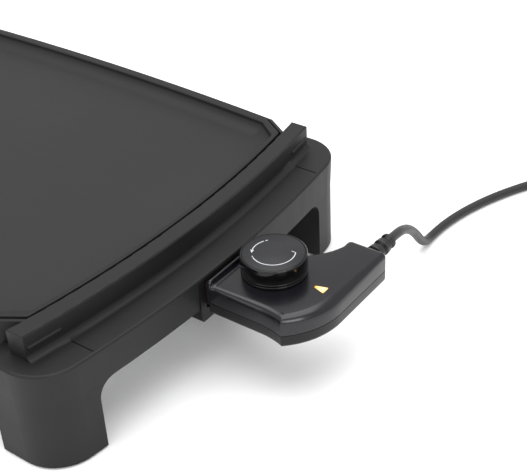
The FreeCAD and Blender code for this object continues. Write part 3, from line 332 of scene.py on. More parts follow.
@dataclass(frozen=True)
class NonStickCoating(Finish):
    """Sprayed non-stick coating: fine orange peel, tiny flecks and faint wiping marks, with painted
    shade darkening the rim band.
    """

    colour: Rgb
    rim_shade_colour: Rgb
    rim_low: float
    rim_high: float
    scuff_colour: Rgb = (0.16, 0.16, 0.165)
    speck_colour: Rgb = (0.11, 0.11, 0.115)

    def paint(self, sheet: NodeSheet) -> bpy.types.Material:
        """The floor is lighter than the rim band and upper cove wall, whose darker tone is painted
        shade.

        Args:
            sheet: The material's nodes.

        Returns:
            The material.
        """
        height = sheet.axis("Z")
        # Painted shade: above this height the rim band and upper cove wall are painted darker.
        painted_rim_shade = height.step(self.rim_low, self.rim_high)
        clouds = sheet.noise(0.11, 2.0)
        wiping = sheet.stretched_noise((0.09, 0.012, 0.05), 4.0)
        flecks = sheet.cells(0.0009)
        peel = sheet.noise(0.0011, 3.0, 0.55)
        ground = sheet.blend(painted_rim_shade, self.colour, self.rim_shade_colour)
        shade = (clouds - 0.5) * 0.5 + (wiping - 0.5) * 0.25 + 0.5
        lit = sheet.blend(shade * 0.05, ground, self.scuff_colour)
        speck = (1 - flecks.step(0.06, 0.16)) * 0.2
        return sheet.finish(
            Base_Color=sheet.blend(speck, lit, self.speck_colour),
            Roughness=0.52 + (wiping - 0.5) * 0.12 + (peel - 0.5) * 0.06,
            Normal=sheet.relief(peel, 0.00004),
            Specular_IOR_Level=0.25,
        )


@dataclass(frozen=True)
class GlossPlastic(Finish):
    """Polished moulded plastic, with a faint orange peel, hairline scuffs and dust."""

    colour: Rgb
    roughness: float = 0.09
    coat: float = 0.6
    specular: float = 0.5

    def paint(self, sheet: NodeSheet) -> bpy.types.Material:
        """Scuffs and dust raise the roughness a little.

        Args:
            sheet: The material's nodes.

        Returns:
            The material.
        """
        peel = sheet.noise(0.0035, 2.0, 0.4)
        scuffs = sheet.stretched_noise((0.012, 0.0004, 0.006), 3.0).step(0.63, 0.74)
        dust = 1 - sheet.cells(0.0035).step(0.02, 0.05)
        smears = sheet.noise(0.02, 3.0)
        lighter = tuple(part * 1.6 + 0.004 for part in self.colour)
        return sheet.finish(
            Base_Color=sheet.blend(dust * 0.35 + smears * 0.2, self.colour, lighter),
            Roughness=self.roughness + scuffs * 0.07 + (smears - 0.5) * 0.05 + dust * 0.12,
            Normal=sheet.relief(peel, 0.000012),
            Coat_Weight=self.coat,
            Coat_Roughness=0.05,
            Specular_IOR_Level=self.specular,
        )


@dataclass(frozen=True)
class SatinInsert(Finish):
    """A turned satin insert with fine concentric lines about its own centre."""

    colour: Rgb
    centre: tuple[float, float]
    radians_per_metre: float = 16000.0

    def paint(self, sheet: NodeSheet) -> bpy.types.Material:
        """Rings from the distance to the centre, with a little noise.

        Args:
            sheet: The material's nodes.

        Returns:
            The material.
        """
        phase = sheet.distance(self.centre) * self.radians_per_metre
        rings = sheet.node("ShaderNodeMath", {"operation": "SINE"}, {0: phase})
        mottle = sheet.noise(0.002, 3.0)
        lighter = tuple(part * 1.35 for part in self.colour)
        height = rings * 0.25 + mottle * 0.5
        return sheet.finish(
            Base_Color=sheet.blend(mottle, self.colour, lighter),
            Roughness=0.42 + mottle * 0.1,
            Normal=sheet.relief(height, 0.000004),
            Specular_IOR_Level=0.3,
        )


@dataclass(frozen=True)
class Metal(Finish):
    """Bare or plated metal, brushed along one axis."""

    colour: Rgb
    roughness: float = 0.32
    brushed: Point = (0.01, 0.0003, 0.0003)
    stain: Rgb = (0.12, 0.1, 0.08)
    stained: float = 0.12

    def paint(self, sheet: NodeSheet) -> bpy.types.Material:
        """Brush lines, a little tarnish and uneven polish.

        Args:
            sheet: The material's nodes.

        Returns:
            The material.
        """
        lines = sheet.stretched_noise(self.brushed, 3.0)
        tarnish = sheet.noise(0.012, 4.0).step(0.5, 0.8) * self.stained
        return sheet.finish(
            Base_Color=sheet.blend(tarnish, self.colour, self.stain),
            Metallic=1 - tarnish * 0.6,
            Roughness=self.roughness + (lines - 0.5) * 0.18 + tarnish * 0.4,
            Normal=sheet.relief(lines, 0.00001),
        )


@dataclass(frozen=True)
class Rubber(Finish):
    """Soft dark rubber or vinyl with a dull bloom."""

    colour: Rgb
    roughness: float = 0.62
    grain: float = 0.0006
    depth: float = 0.00002

    def paint(self, sheet: NodeSheet) -> bpy.types.Material:
        """A bloom in patches over a fine skin.

        Args:
            sheet: The material's nodes.

        Returns:
            The material.
        """
        bloom = sheet.noise(0.01, 4.0)
        skin = sheet.noise(self.grain, 3.0, 0.6)
        lighter = tuple(part * 1.3 + 0.002 for part in self.colour)
        return sheet.finish(
            Base_Color=sheet.blend(bloom, self.colour, lighter),
            Roughness=self.roughness + (bloom - 0.5) * 0.16,
            Normal=sheet.relief(skin, self.depth),
            Specular_IOR_Level=0.5,
        )


@dataclass(frozen=True)
class FiredCeramic(Finish):
    """Off-white steatite with fine specks."""

    colour: Rgb
    speck_colour: Rgb = (0.35, 0.3, 0.24)

    def paint(self, sheet: NodeSheet) -> bpy.types.Material:
        """Specks and a slightly grainy skin.

        Args:
            sheet: The material's nodes.

        Returns:
            The material.
        """
        specks = 1 - sheet.cells(0.0011).step(0.08, 0.2)
        skin = sheet.noise(0.0005, 3.0)
        return sheet.finish(
            Base_Color=sheet.blend(specks * 0.4, self.colour, self.speck_colour),
            Roughness=0.55 + (skin - 0.5) * 0.2,
            Normal=sheet.relief(skin, 0.00003),
        )


@dataclass(frozen=True)
class LitLens(Finish):
    """A translucent coloured lens with the lamp glowing behind it."""

    colour: Rgb
    glow: Rgb
    edge: Rgb
    centre: tuple[float, float]
    reach: float
    brightness: float = 0.82

    def paint(self, sheet: NodeSheet) -> bpy.types.Material:
        """Bright in the middle, deeper in colour towards the edge.

        Args:
            sheet: The material's nodes.

        Returns:
            The material.
        """
        fade = sheet.distance(self.centre).step(self.reach * 0.25, self.reach)
        ripple = sheet.noise(0.0012, 2.0)
        return sheet.finish(
            Base_Color=sheet.blend(fade, self.colour, self.edge),
            Emission_Color=sheet.blend(fade, self.glow, self.edge),
            Emission_Strength=self.brightness,
            Roughness=0.12 + ripple * 0.1,
            Normal=sheet.relief(ripple, 0.00001),
            Coat_Weight=0.5,
        )


@dataclass(frozen=True)
class ClearGlass(Finish):
    """Thin clear glass with a warm tint."""

    colour: Rgb
    tint: Rgb = (1.0, 0.75, 0.5)

    def paint(self, sheet: NodeSheet) -> bpy.types.Material:
        """Slightly wavy.

        Args:
            sheet: The material's nodes.

        Returns:
            The material.
        """
        wave = sheet.noise(0.002, 2.0)
        return sheet.finish(
            Base_Color=sheet.blend(wave * 0.3, self.colour, self.tint),
            Roughness=0.05 + wave * 0.05,
            Transmission_Weight=0.8,
            IOR=1.5,
            Normal=sheet.relief(wave, 0.00002),
        )


@dataclass(frozen=True)
class PrintedInk(Finish):
    """Pad-printed ink with slightly uneven cover."""

    colour: Rgb
    ground: Rgb = (0.2, 0.2, 0.2)

    def paint(self, sheet: NodeSheet) -> bpy.types.Material:
        """Thin spots let the ground through.

        Args:
            sheet: The material's nodes.

        Returns:
            The material.
        """
        cover = sheet.noise(0.0006, 3.0)
        return sheet.finish(
            Base_Color=sheet.blend(cover.step(0.62, 0.8) * 0.5, self.colour, self.ground),
            Roughness=0.5 + (cover - 0.5) * 0.2,
            Normal=sheet.relief(cover, 0.000006),
        )


@dataclass(frozen=True)
class StudioPaper(Finish):
    """The pale paper that the studio floor is made of."""

    colour: Rgb

    def paint(self, sheet: NodeSheet) -> bpy.types.Material:
        """Barely visible fibres.

        Args:
            sheet: The material's nodes.

        Returns:
            The material.
        """
        fibres = sheet.noise(0.004, 3.0)
        darker = tuple(part * 0.985 for part in self.colour)
        return sheet.finish(
            Base_Color=sheet.blend(fibres, self.colour, darker),
            Roughness=0.9 + (fibres - 0.5) * 0.05,
            Specular_IOR_Level=0.1,
        )


HOUSING = MouldedPlastic("housing_plastic", tone(22, 22, 23), 0.5, specular=0.25)
RAIL = MouldedPlastic("rail_plastic", tone(22, 22, 23), 0.5, specular=0.25)
SOCKET = MouldedPlastic("socket_plastic", tone(14, 14, 15), 0.45, specular=0.25)
# The plate's darker rim colour is painted shade on the rim band and upper cove wall.
NON_STICK = NonStickCoating("nonstick_plate", tone(24, 24, 25), tone(8, 8, 9), 0.0840, 0.0866)
NOSE = MouldedPlastic("nose_plastic", tone(44, 38, 34), 0.4)
TRAY = MouldedPlastic("tray_paint", tone(22, 22, 24), 0.4, 0.0012, 0.00003)
TIE = MouldedPlastic("tie_plastic", tone(24, 24, 26), 0.38)
GLOSS = GlossPlastic("controller_gloss", tone(15, 15, 19), 0.21, 0.0, 0.42)
LOWER_GLOSS = GlossPlastic("controller_lower", tone(8, 8, 10), 0.26, 0.0, 0.24)
KNOB_GLOSS = GlossPlastic("knob_gloss", tone(4, 4, 5), 0.13, 0.0, 0.3)
FOOT_RUBBER = Rubber("foot_rubber", tone(20, 20, 21))
RELIEF_RUBBER = Rubber("relief_rubber", tone(9, 9, 10), 0.34)
CORD_SHEATH = Rubber("cord_sheath", tone(18, 18, 20), 0.48, 0.0012, 0.00003)
PLUG_RUBBER = Rubber("plug_rubber", tone(24, 24, 26), 0.48)
ELEMENT = Metal("element_steel", (0.35, 0.33, 0.32), 0.42, (0.004, 0.0006, 0.0006))
PINS = Metal("nickel_pins", (0.66, 0.64, 0.6), 0.22, (0.012, 0.0003, 0.0003))
BARE_ALUMINIUM = Metal("bare_aluminium", (0.62, 0.63, 0.65), 0.38, (0.02, 0.0004, 0.002))
SCREWS = Metal("screw_steel", (0.55, 0.55, 0.56), 0.3, (0.001, 0.0004, 0.0004))
RUNNERS = Metal("runner_steel", (0.5, 0.5, 0.51), 0.36, (0.02, 0.0005, 0.0005))
BRASS = Metal("contact_brass", (0.75, 0.56, 0.27), 0.28, (0.003, 0.0003, 0.0003))
PROBE = Metal("probe_steel", (0.6, 0.6, 0.61), 0.2, (0.02, 0.0003, 0.0003))
CERAMIC = FiredCeramic("ceramic", (0.62, 0.58, 0.5))
LAMP_GLASS = ClearGlass("lamp_glass", (1.0, 0.9, 0.8))
TERMINALS = MouldedPlastic("nose_plastic", tone(46, 42, 38), 0.45)
INK = PrintedInk("printed_ink", (0.46, 0.47, 0.49))
PAPER = StudioPaper("studio_paper", (0.9, 0.9, 0.9))


# ---- mesh helpers ------------------------------------------------------------------------
class Body(Enum):
    """The bodies of the frame that a piece can ride on."""

    GRIDDLE = "griddle"
    TRAY = "tray"
    CONTROLLER = "controller"
    KNOB = "knob"


def dress(finish: Finish, *nodes: str) -> None:
    """Gives CAD nodes their finish and logs them.

    Args:
        finish: The finish.
        nodes: The nodes' names.
    """
    for node in nodes:
        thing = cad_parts[node]
        thing.data.materials.clear()
        thing.data.materials.append(material_of(finish))
        for polygon in thing.data.polygons:
            polygon.material_index = 0
        log.info("dressed %s in %s", node, finish.name)


def settle(
    thing: bpy.types.Object,
    body: Body,
    finish: Finish,
    stands_for: Sequence[str] = (),
) -> bpy.types.Object:
    """Dresses a new piece, rides it on its body and hides what it stands for.

    Args:
        thing: The new piece.
        body: The body that it moves with.
        finish: Its finish.
        stands_for: CAD nodes that it replaces.

    Returns:
        The piece.
    """
    thing.data.materials.append(material_of(finish))
    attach(thing, body.value)
    if stands_for:
        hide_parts(*stands_for)
    log.info("built %s on %s", thing.name, body.value)
    return thing


def link(name: str, data: bpy.types.ID) -> bpy.types.Object:
    """A new object in the scene from its data.

    Args:
        name: The object's name.
        data: Its mesh, curve, light or camera.

    Returns:
        The object.
    """
    thing = bpy.data.objects.new(name, data)
    bpy.context.scene.collection.objects.link(thing)
    return thing


def bridge(mesh: bmesh.types.BMesh, first: list, second: list) -> None:
    """Quads between two rings of as many vertices.

    Args:
        mesh: The mesh to add to.
        first: One ring's vertices.
        second: The other's, as many.
    """
    count = len(first)
    for i in range(count):
        j = (i + 1) % count
        mesh.faces.new((first[i], first[j], second[j], second[i]))


def add_rings(mesh: bmesh.types.BMesh, rings: Iterable[Ring], closed: bool = False) -> list[list]:
    """Adds a skin through rings of as many points.

    Args:
        mesh: The mesh to add to.
        rings: The rings, in order.
        closed: Whether the last ring joins the first again.

    Returns:
        The rings' vertices.
    """
    made = [[mesh.verts.new(point) for point in ring] for ring in rings]
    for first, second in zip(made, made[1:]):
        bridge(mesh, first, second)
    if closed:
        bridge(mesh, made[-1], made[0])
    return made


def ring_edges(ring: list) -> list:
    """The edges that join a ring's neighbouring vertices.

    Args:
        ring: The ring's vertices, in order.

    Returns:
        The edges, one for each vertex.
    """
    edges = []
    for i, vertex in enumerate(ring):
        ahead = ring[(i + 1) % len(ring)]
        edges.append(next(edge for edge in vertex.link_edges if ahead in edge.verts))
    return edges


def fill_between(mesh: bmesh.types.BMesh, loops: Sequence[list]) -> None:
    """A flat face inside the first loop and outside the others, in triangles."""
    edges = [edge for loop in loops for edge in ring_edges(loop)]
    bmesh.ops.triangle_fill(mesh, edges=edges, use_beauty=True, use_dissolve=False)


def finish_mesh(name: str, mesh: bmesh.types.BMesh, crease: float = 40.0) -> bpy.types.Object:
    """Turns a bmesh into a smooth-shaded object whose sharp edges stay sharp.

    Args:
        name: The object's name.
        mesh: The mesh, which is freed.
        crease: Edges that turn by more degrees than this are sharp.

    Returns:
        The object.
    """
    bmesh.ops.remove_doubles(mesh, verts=mesh.verts, dist=1e-7)
    bmesh.ops.dissolve_degenerate(mesh, edges=mesh.edges, dist=1e-8)
    bmesh.ops.recalc_face_normals(mesh, faces=mesh.faces)
    limit = math.radians(crease)
    for edge in mesh.edges:
        edge.smooth = len(edge.link_faces) != 2 or edge.calc_face_angle(0.0) < limit
    for face in mesh.faces:
        face.smooth = True
    data = bpy.data.meshes.new(name)
    mesh.to_mesh(data)
    mesh.free()
    return link(name, data)


def circle(centre: Vector, radius: float, count: int) -> Ring:
    """A flat ring of points about a centre."""
    turns = [2 * math.pi * i / count for i in range(count)]
    return [centre + Vector((math.cos(a), math.sin(a), 0)) * radius for a in turns]


def lathe(
    name: str,
    centre: Vector,
    profile: Sequence[tuple[float, float]],
    count: int = 96,
    turn: Matrix | None = None,
) -> bpy.types.Object:
    """A turned piece about an upright axis.

    Args:
        name: The object's name.
        centre: The axis at height 0 of the profile.
        profile: Closed outline of radius and height pairs.
        count: Steps round the axis.
        turn: Turns the whole piece about the centre.

    Returns:
        The object.
    """
    mesh = bmesh.new()
    turn = turn or Matrix.Identity(3)
    rings = []
    for radius, height in profile:
        ring = circle(Vector((0, 0, height)), radius, count)
        rings.append([centre + turn @ point for point in ring])
    add_rings(mesh, rings, closed=True)
    return finish_mesh(name, mesh, 50.0)


def arc_through(start: Vector, middle: Vector, end: Vector, count: int) -> Ring:
    """Points along the arc through three points in the XY plane, both ends included.

    Args:
        start: The first point.
        middle: A point that the arc passes.
        end: The last point.
        count: How many points to give.

    Returns:
        The points, all at the first one's height.
    """
    ax, ay, bx, by, cx, cy = start.x, start.y, middle.x, middle.y, end.x, end.y
    twice = 2 * (ax * (by - cy) + bx * (cy - ay) + cx * (ay - by))
    a2, b2, c2 = ax * ax + ay * ay, bx * bx + by * by, cx * cx + cy * cy
    x = (a2 * (by - cy) + b2 * (cy - ay) + c2 * (ay - by)) / twice
    y = (a2 * (cx - bx) + b2 * (ax - cx) + c2 * (bx - ax)) / twice
    radius = math.hypot(ax - x, ay - y)
    first = math.atan2(ay - y, ax - x)
    turn = math.atan2(cy - y, cx - x) - first
    way = math.atan2(by - y, bx - x) - first
    turn = turn % (2 * math.pi)
    if way % (2 * math.pi) > turn:
        turn -= 2 * math.pi
    angles = [first + turn * i / (count - 1) for i in range(count)]
    return [Vector((x + radius * math.cos(a), y + radius * math.sin(a), start.z)) for a in angles]


@dataclass(frozen=True)
class Corner:
    """A point of an outline, the radius that rounds it and how soft its upper edge is."""

    place: Vector
    radius: float = 0.0
    softness: float = 1.0


def round_corner(before: Vector, here: Vector, after: Vector, radius: float, steps: int) -> Ring:
    """Points of the arc that rounds one corner.

    Args:
        before: The corner before.
        here: The corner to round.
        after: The corner after.
        radius: The arc's radius.
        steps: Steps along the arc.

    Returns:
        The arc's points, both ends included.
    """
    back = (before - here).normalized()
    ahead = (after - here).normalized()
    half = back.angle(ahead) / 2
    reach = radius / math.tan(half)
    centre = here + (back + ahead).normalized() * (radius / math.sin(half))
    start = here + back * reach - centre
    end = here + ahead * reach - centre
    points = []
    for i in range(steps + 1):
        points.append(centre + start.slerp(end, i / steps, start).normalized() * radius)
    return points


@dataclass(frozen=True)
class Outline:
    """A closed flat outline, drawn anticlockwise, that can be drawn in by any amount."""

    corners: tuple[Corner, ...]
    steps: int = 6

    def ring(self, inset: float, z: float) -> Ring:
        """The outline drawn in.

        Args:
            inset: How far, in metres.
            z: Height of the ring.

        Returns:
            The ring's points, as many at every inset.
        """
        count = len(self.corners)
        return self._points([inset] * count, [z] * count)

    def soft_ring(self, inset: float, top: float, drop: float) -> Ring:
        """A ring of a rounded upper edge, which is wider where corners are softer.

        Args:
            inset: How far it is drawn in where the softness is 1.
            top: Height of the flat that the edge turns into.
            drop: How far below that the ring lies where the softness is 1.

        Returns:
            The ring's points, as many at every inset.
        """
        insets = [inset * corner.softness for corner in self.corners]
        heights = [top - drop * corner.softness for corner in self.corners]
        return self._points(insets, heights)

    def _points(self, insets: Sequence[float], heights: Sequence[float]) -> Ring:
        """The ring with an inset and a height of its own at each corner.

        Args:
            insets: How far each corner is drawn in.
            heights: The height at each corner.

        Returns:
            The ring's points.
        """
        flat = [Vector((c.place.x, c.place.y, 0)) for c in self.corners]
        count = len(flat)
        moved = []
        for i, here in enumerate(flat):
            into = (here - flat[i - 1]).normalized()
            out = (flat[(i + 1) % count] - here).normalized()
            normal_in = Vector((-into.y, into.x, 0))
            normal_out = Vector((-out.y, out.x, 0))
            bisector = (normal_in + normal_out).normalized()
            moved.append(here + bisector * (insets[i] / max(bisector.dot(normal_in), 0.3)))
        points: Ring = []
        for i, corner in enumerate(self.corners):
            if corner.radius == 0:
                run = [moved[i]]
            else:
                radius = max(corner.radius - insets[i], 0.00004)
                ahead = moved[(i + 1) % count]
                run = round_corner(moved[i - 1], moved[i], ahead, radius, self.steps)
            points.extend(Vector((p.x, p.y, heights[i])) for p in run)
        return points


def rounding(radius: float, low: float, high: float, steps: int = 6) -> list[tuple[float, float]]:
    """Inset and height pairs of a rounded edge.

    Args:
        radius: The edge's radius.
        low: Height at which the wall starts to turn in.
        high: Height of the flat that it turns into, above or below low.
        steps: Steps of the quarter turn.

    Returns:
        The pairs, from the wall to the flat.
    """
    pairs = []
    for i in range(steps + 1):
        turn = math.pi / 2 * i / steps
        pairs.append((radius * (1 - math.cos(turn)), low + (high - low) * math.sin(turn)))
    return pairs


# ---- studio ------------------------------------------------------------------------------
@dataclass(frozen=True)
class Softbox:
    """A rectangular light."""

    name: str
    place: Point
    aim: Point
    size: tuple[float, float]
    power: float

    def build(self) -> None:
        """Hangs the light and points it."""
        data = bpy.data.lights.new(self.name, "AREA")
        data.shape = "RECTANGLE"
        data.size, data.size_y = self.size
        data.energy = self.power
        thing = link(self.name, data)
        thing.location = self.place
        way = Vector(self.aim) - Vector(self.place)
        thing.rotation_euler = way.to_track_quat("-Z", "Y").to_euler()


@dataclass(frozen=True)
class Studio:
    """Camera, lights and floor."""

    place: Point = (0.622638, -0.437167, 0.477367)
    azimuth: float = 37.69
    elevation: float = 34.49
    roll: float = -3.19
    lens: float = 77.81
    floor_half: float = 6.0
    sky: float = 0.9
    boxes: tuple[Softbox, ...] = (
        Softbox("overhead", (0.1, 0.1, 2.1), (0.05, 0.0, 0.0), (2.6, 2.2), 52.0),
        Softbox("side", (1.9, -0.9, 1.0), (0.2, 0.0, 0.05), (0.9, 0.9), 15.0),
        Softbox("front", (-0.2, -2.0, 1.0), (0.1, 0.0, 0.05), (1.4, 0.9), 9.0),
    )

    def build(self) -> None:
        """Sets up everything that isn't the object."""
        self._camera()
        self._floor()
        self._sky()
        for box in self.boxes:
            box.build()
        bpy.context.scene.view_settings.view_transform = "Standard"
        log.info("studio ready")

    def _camera(self) -> None:
        """The camera, from its bearing, its height angle and its tilt."""
        data = bpy.data.cameras.new("camera")
        data.lens = self.lens
        data.sensor_width = 36.0
        data.clip_start = 0.01
        thing = link("camera", data)
        bearing = Matrix.Rotation(math.radians(self.azimuth), 4, "Z")
        lean = Matrix.Rotation(math.radians(90 - self.elevation), 4, "X")
        tilt = Matrix.Rotation(math.radians(self.roll), 4, "Z")
        thing.matrix_world = Matrix.Translation(self.place) @ bearing @ lean @ tilt
        bpy.context.scene.camera = thing

    def _floor(self) -> None:
        """A wide sheet of pale paper."""
        mesh = bmesh.new()
        size = self.floor_half
        corners = [(-size, -size, 0), (size, -size, 0), (size, size, 0), (-size, size, 0)]
        mesh.faces.new([mesh.verts.new(corner) for corner in corners])
        thing = finish_mesh("studio_floor", mesh)
        thing.data.materials.append(material_of(PAPER))

    def _sky(self) -> None:
        """Even pale light from all round."""
        world = bpy.data.worlds.new("studio_sky")
        world.use_nodes = True
        background = world.node_tree.nodes["Background"]
        background.inputs["Color"].default_value = (1.0, 1.0, 1.0, 1.0)
        background.inputs["Strength"].default_value = self.sky
        bpy.context.scene.world = world


# ---- the griddle itself ------------------------------------------------------------------
def bow(radius: float, offset: float) -> float:
    """How far an arc of this radius falls back at this distance from its crown."""
    return radius - math.sqrt(radius * radius - offset * offset)


@dataclass(frozen=True)
class CookingPlate:
    """The cast plate: dished floor with a coved wall, rounded rim, drain spout, element channel."""

    end_radius: float = 0.723
    side_radius: float = 2.5972
    corner_run: float = 0.0185
    corner_fall: float = 0.0087
    corner_round: float = 0.004
    rim_at_ends: float = 0.0035
    rim_at_sides: float = 0.0055
    cove_run: float = 0.0115
    dish_depth: float = 0.008
    thickness: float = 0.005
    edge_round: float = 0.0008
    cove_steps: int = 12
    drain_radius: float = 0.004
    drain_flare: float = 0.0012
    drain_inset: float = 0.03666
    spout_wall: float = 0.002
    channel_half: float = 0.0063
    channel_depth: float = 0.008
    channel_near: float = 0.041
    channel_gap: float = 0.0077
    element_radius: float = 0.0033
    channel_corner: float = 0.002
    channel_sink: float = 0.0005
    channel_edge: tuple[tuple[float, float], ...] = ((0.0, 0.0015), (0.0005, 0.0004), (0.0015, 0.0))
    corner_shrink: float = 0.6
    corner_slide: float = 0.1
    end_points: int = 33
    side_points: int = 49

    def _ring(self, end_inset: float, side_inset: float, z: float) -> Ring:
        """The plate's outline, drawn in by these amounts at its ends and sides.

        Args:
            end_inset: How far the bowed ends are drawn in.
            side_inset: How far the long sides are drawn in.
            z: Height of the ring.

        Returns:
            The ring's points, as many at every inset.
        """
        low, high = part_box("plate_rim")
        centre_x = (low.x + high.x) / 2
        length = (high.x - low.x) / 2 - end_inset
        depth = (high.y - low.y) / 2 - side_inset
        end_radius = self.end_radius - end_inset
        side_radius = self.side_radius - side_inset
        corner_run = self.corner_run - self.corner_shrink * end_inset
        fall = self.corner_fall + self.corner_slide * side_inset
        end_y = depth - bow(side_radius, length) - fall
        end_x = length - bow(end_radius, end_y)
        side_x = end_x - corner_run
        side_y = depth - bow(side_radius, side_x)
        points: list[Corner] = []
        for sign in (1, -1):
            tip = Vector((sign * length, 0, 0))
            start = Vector((sign * end_x, -sign * end_y, 0))
            end = Vector((sign * end_x, sign * end_y, 0))
            points.extend(self._run(arc_through(start, tip, end, self.end_points)))
            crown = Vector((0, sign * depth, 0))
            start = Vector((sign * side_x, sign * side_y, 0))
            end = Vector((-sign * side_x, sign * side_y, 0))
            points.extend(self._run(arc_through(start, crown, end, self.side_points)))
        ring = Outline(tuple(points)).ring(0.0, z)
        return [Vector((point.x + centre_x, point.y, z)) for point in ring]

    def _run(self, points: Ring) -> list[Corner]:
        """One side of the outline, whose two ends are rounded corners."""
        last = len(points) - 1
        return [Corner(p, self.corner_round if i in (0, last) else 0.0) for i, p in enumerate(points)]

    def build(self) -> bpy.types.Object:
        """Builds the plate as one skin from the drain over the rim and back to the spout.

        Returns:
            The plate.
        """
        low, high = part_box("plate_rim")
        spout_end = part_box("griddle_plate")[0].z
        floor = high.z - self.dish_depth
        under = floor - self.thickness
        drain = Vector((low.x + self.drain_inset, 0, 0))
        rings = []
        for i in range(self.cove_steps + 1):
            turn = math.pi / 2 * (1 - i / self.cove_steps)
            run = self.cove_run * (1 - math.cos(turn))
            drop = self.edge_round + (self.dish_depth - self.edge_round) * math.sin(turn)
            rings.append(self._ring(self.rim_at_ends + run, self.rim_at_sides + run, high.z - drop))
        edge = rounding(self.edge_round, high.z - self.edge_round, high.z, 4)
        for inset, z in edge[1:]:
            rings.append(self._ring(self.rim_at_ends - inset, self.rim_at_sides - inset, z))
        for inset, z in reversed(edge):
            rings.append(self._ring(inset, inset, z))
        for inset, z in rounding(self.edge_round, under + self.edge_round, under, 3):
            rings.append(self._ring(inset, inset, z))
        ways = [math.atan2(p.y - drain.y, p.x - drain.x) for p in rings[0]]

        def hole(radius: float, z: float) -> Ring:
            """A ring round the drain whose points face those of the outline."""
            return [Vector((drain.x + radius * math.cos(a), radius * math.sin(a), z)) for a in ways]

        outside = self.drain_radius + self.spout_wall
        rings.append(hole(outside, under))
        rings.append(hole(outside, spout_end))
        rings.append(hole(self.drain_radius, spout_end))
        rings.append(hole(self.drain_radius, floor - self.drain_flare))
        rings.append(hole(self.drain_radius + self.drain_flare, floor))
        mesh = bmesh.new()
        add_rings(mesh, rings, closed=True)
        self._add_channel(mesh, under)
        plate = finish_mesh("cooking_plate", mesh)
        return settle(plate, Body.GRIDDLE, NON_STICK, ("griddle_plate", "plate_rim"))

    def _add_channel(self, mesh: bmesh.types.BMesh, under: float) -> None:
        """The C-shaped channel under the plate that holds the element.

        Args:
            mesh: The mesh to add to.
            under: Height of the plate's underside.
        """
        low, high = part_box("heating_element")
        half = self.channel_half
        centre = (high.y - low.y) / 2 - self.element_radius
        far = low.x + self.element_radius
        near = high.x - self.channel_near
        gap = self.channel_gap
        out, within = centre + half, centre - half
        places = [
            (near + half, gap), (near + half, out), (far - half, out), (far - half, -out),
            (near + half, -out), (near + half, -gap), (near - half, -gap), (near - half, -within),
            (far + half, -within), (far + half, within), (near - half, within), (near - half, gap),
        ]
        corners = tuple(Corner(Vector((x, y, 0)), self.channel_corner) for x, y in places)
        outline = Outline(corners, 4)
        bottom = under - self.channel_depth
        rings = [outline.ring(0, under + self.channel_sink)]
        rings += [outline.ring(inset, bottom + rise) for inset, rise in self.channel_edge]
        made = add_rings(mesh, rings)
        fill_between(mesh, [made[0]])
        fill_between(mesh, [made[-1]])


class Base:
    """The moulded housings, rails, socket and feet, and what hangs under the plate."""

    def build(self) -> None:
        """Dresses the frame's own parts."""
        dress(HOUSING, "end_housing_right", "end_housing_left")
        dress(RAIL, "side_rail_back", "side_rail_front")
        dress(SOCKET, "socket_guard")
        dress(FOOT_RUBBER, "rubber_feet")
        dress(BARE_ALUMINIUM, "heat_shield", "probe_sleeve")
        dress(ELEMENT, "heating_element")
        dress(PINS, "terminal_pins")
        dress(CERAMIC, "terminal_insulators", "plate_spacers")
        dress(SCREWS, "plate_screws", "rail_screws")
        dress(RUNNERS, "tray_runners")
        dress(TRAY, "drip_tray")


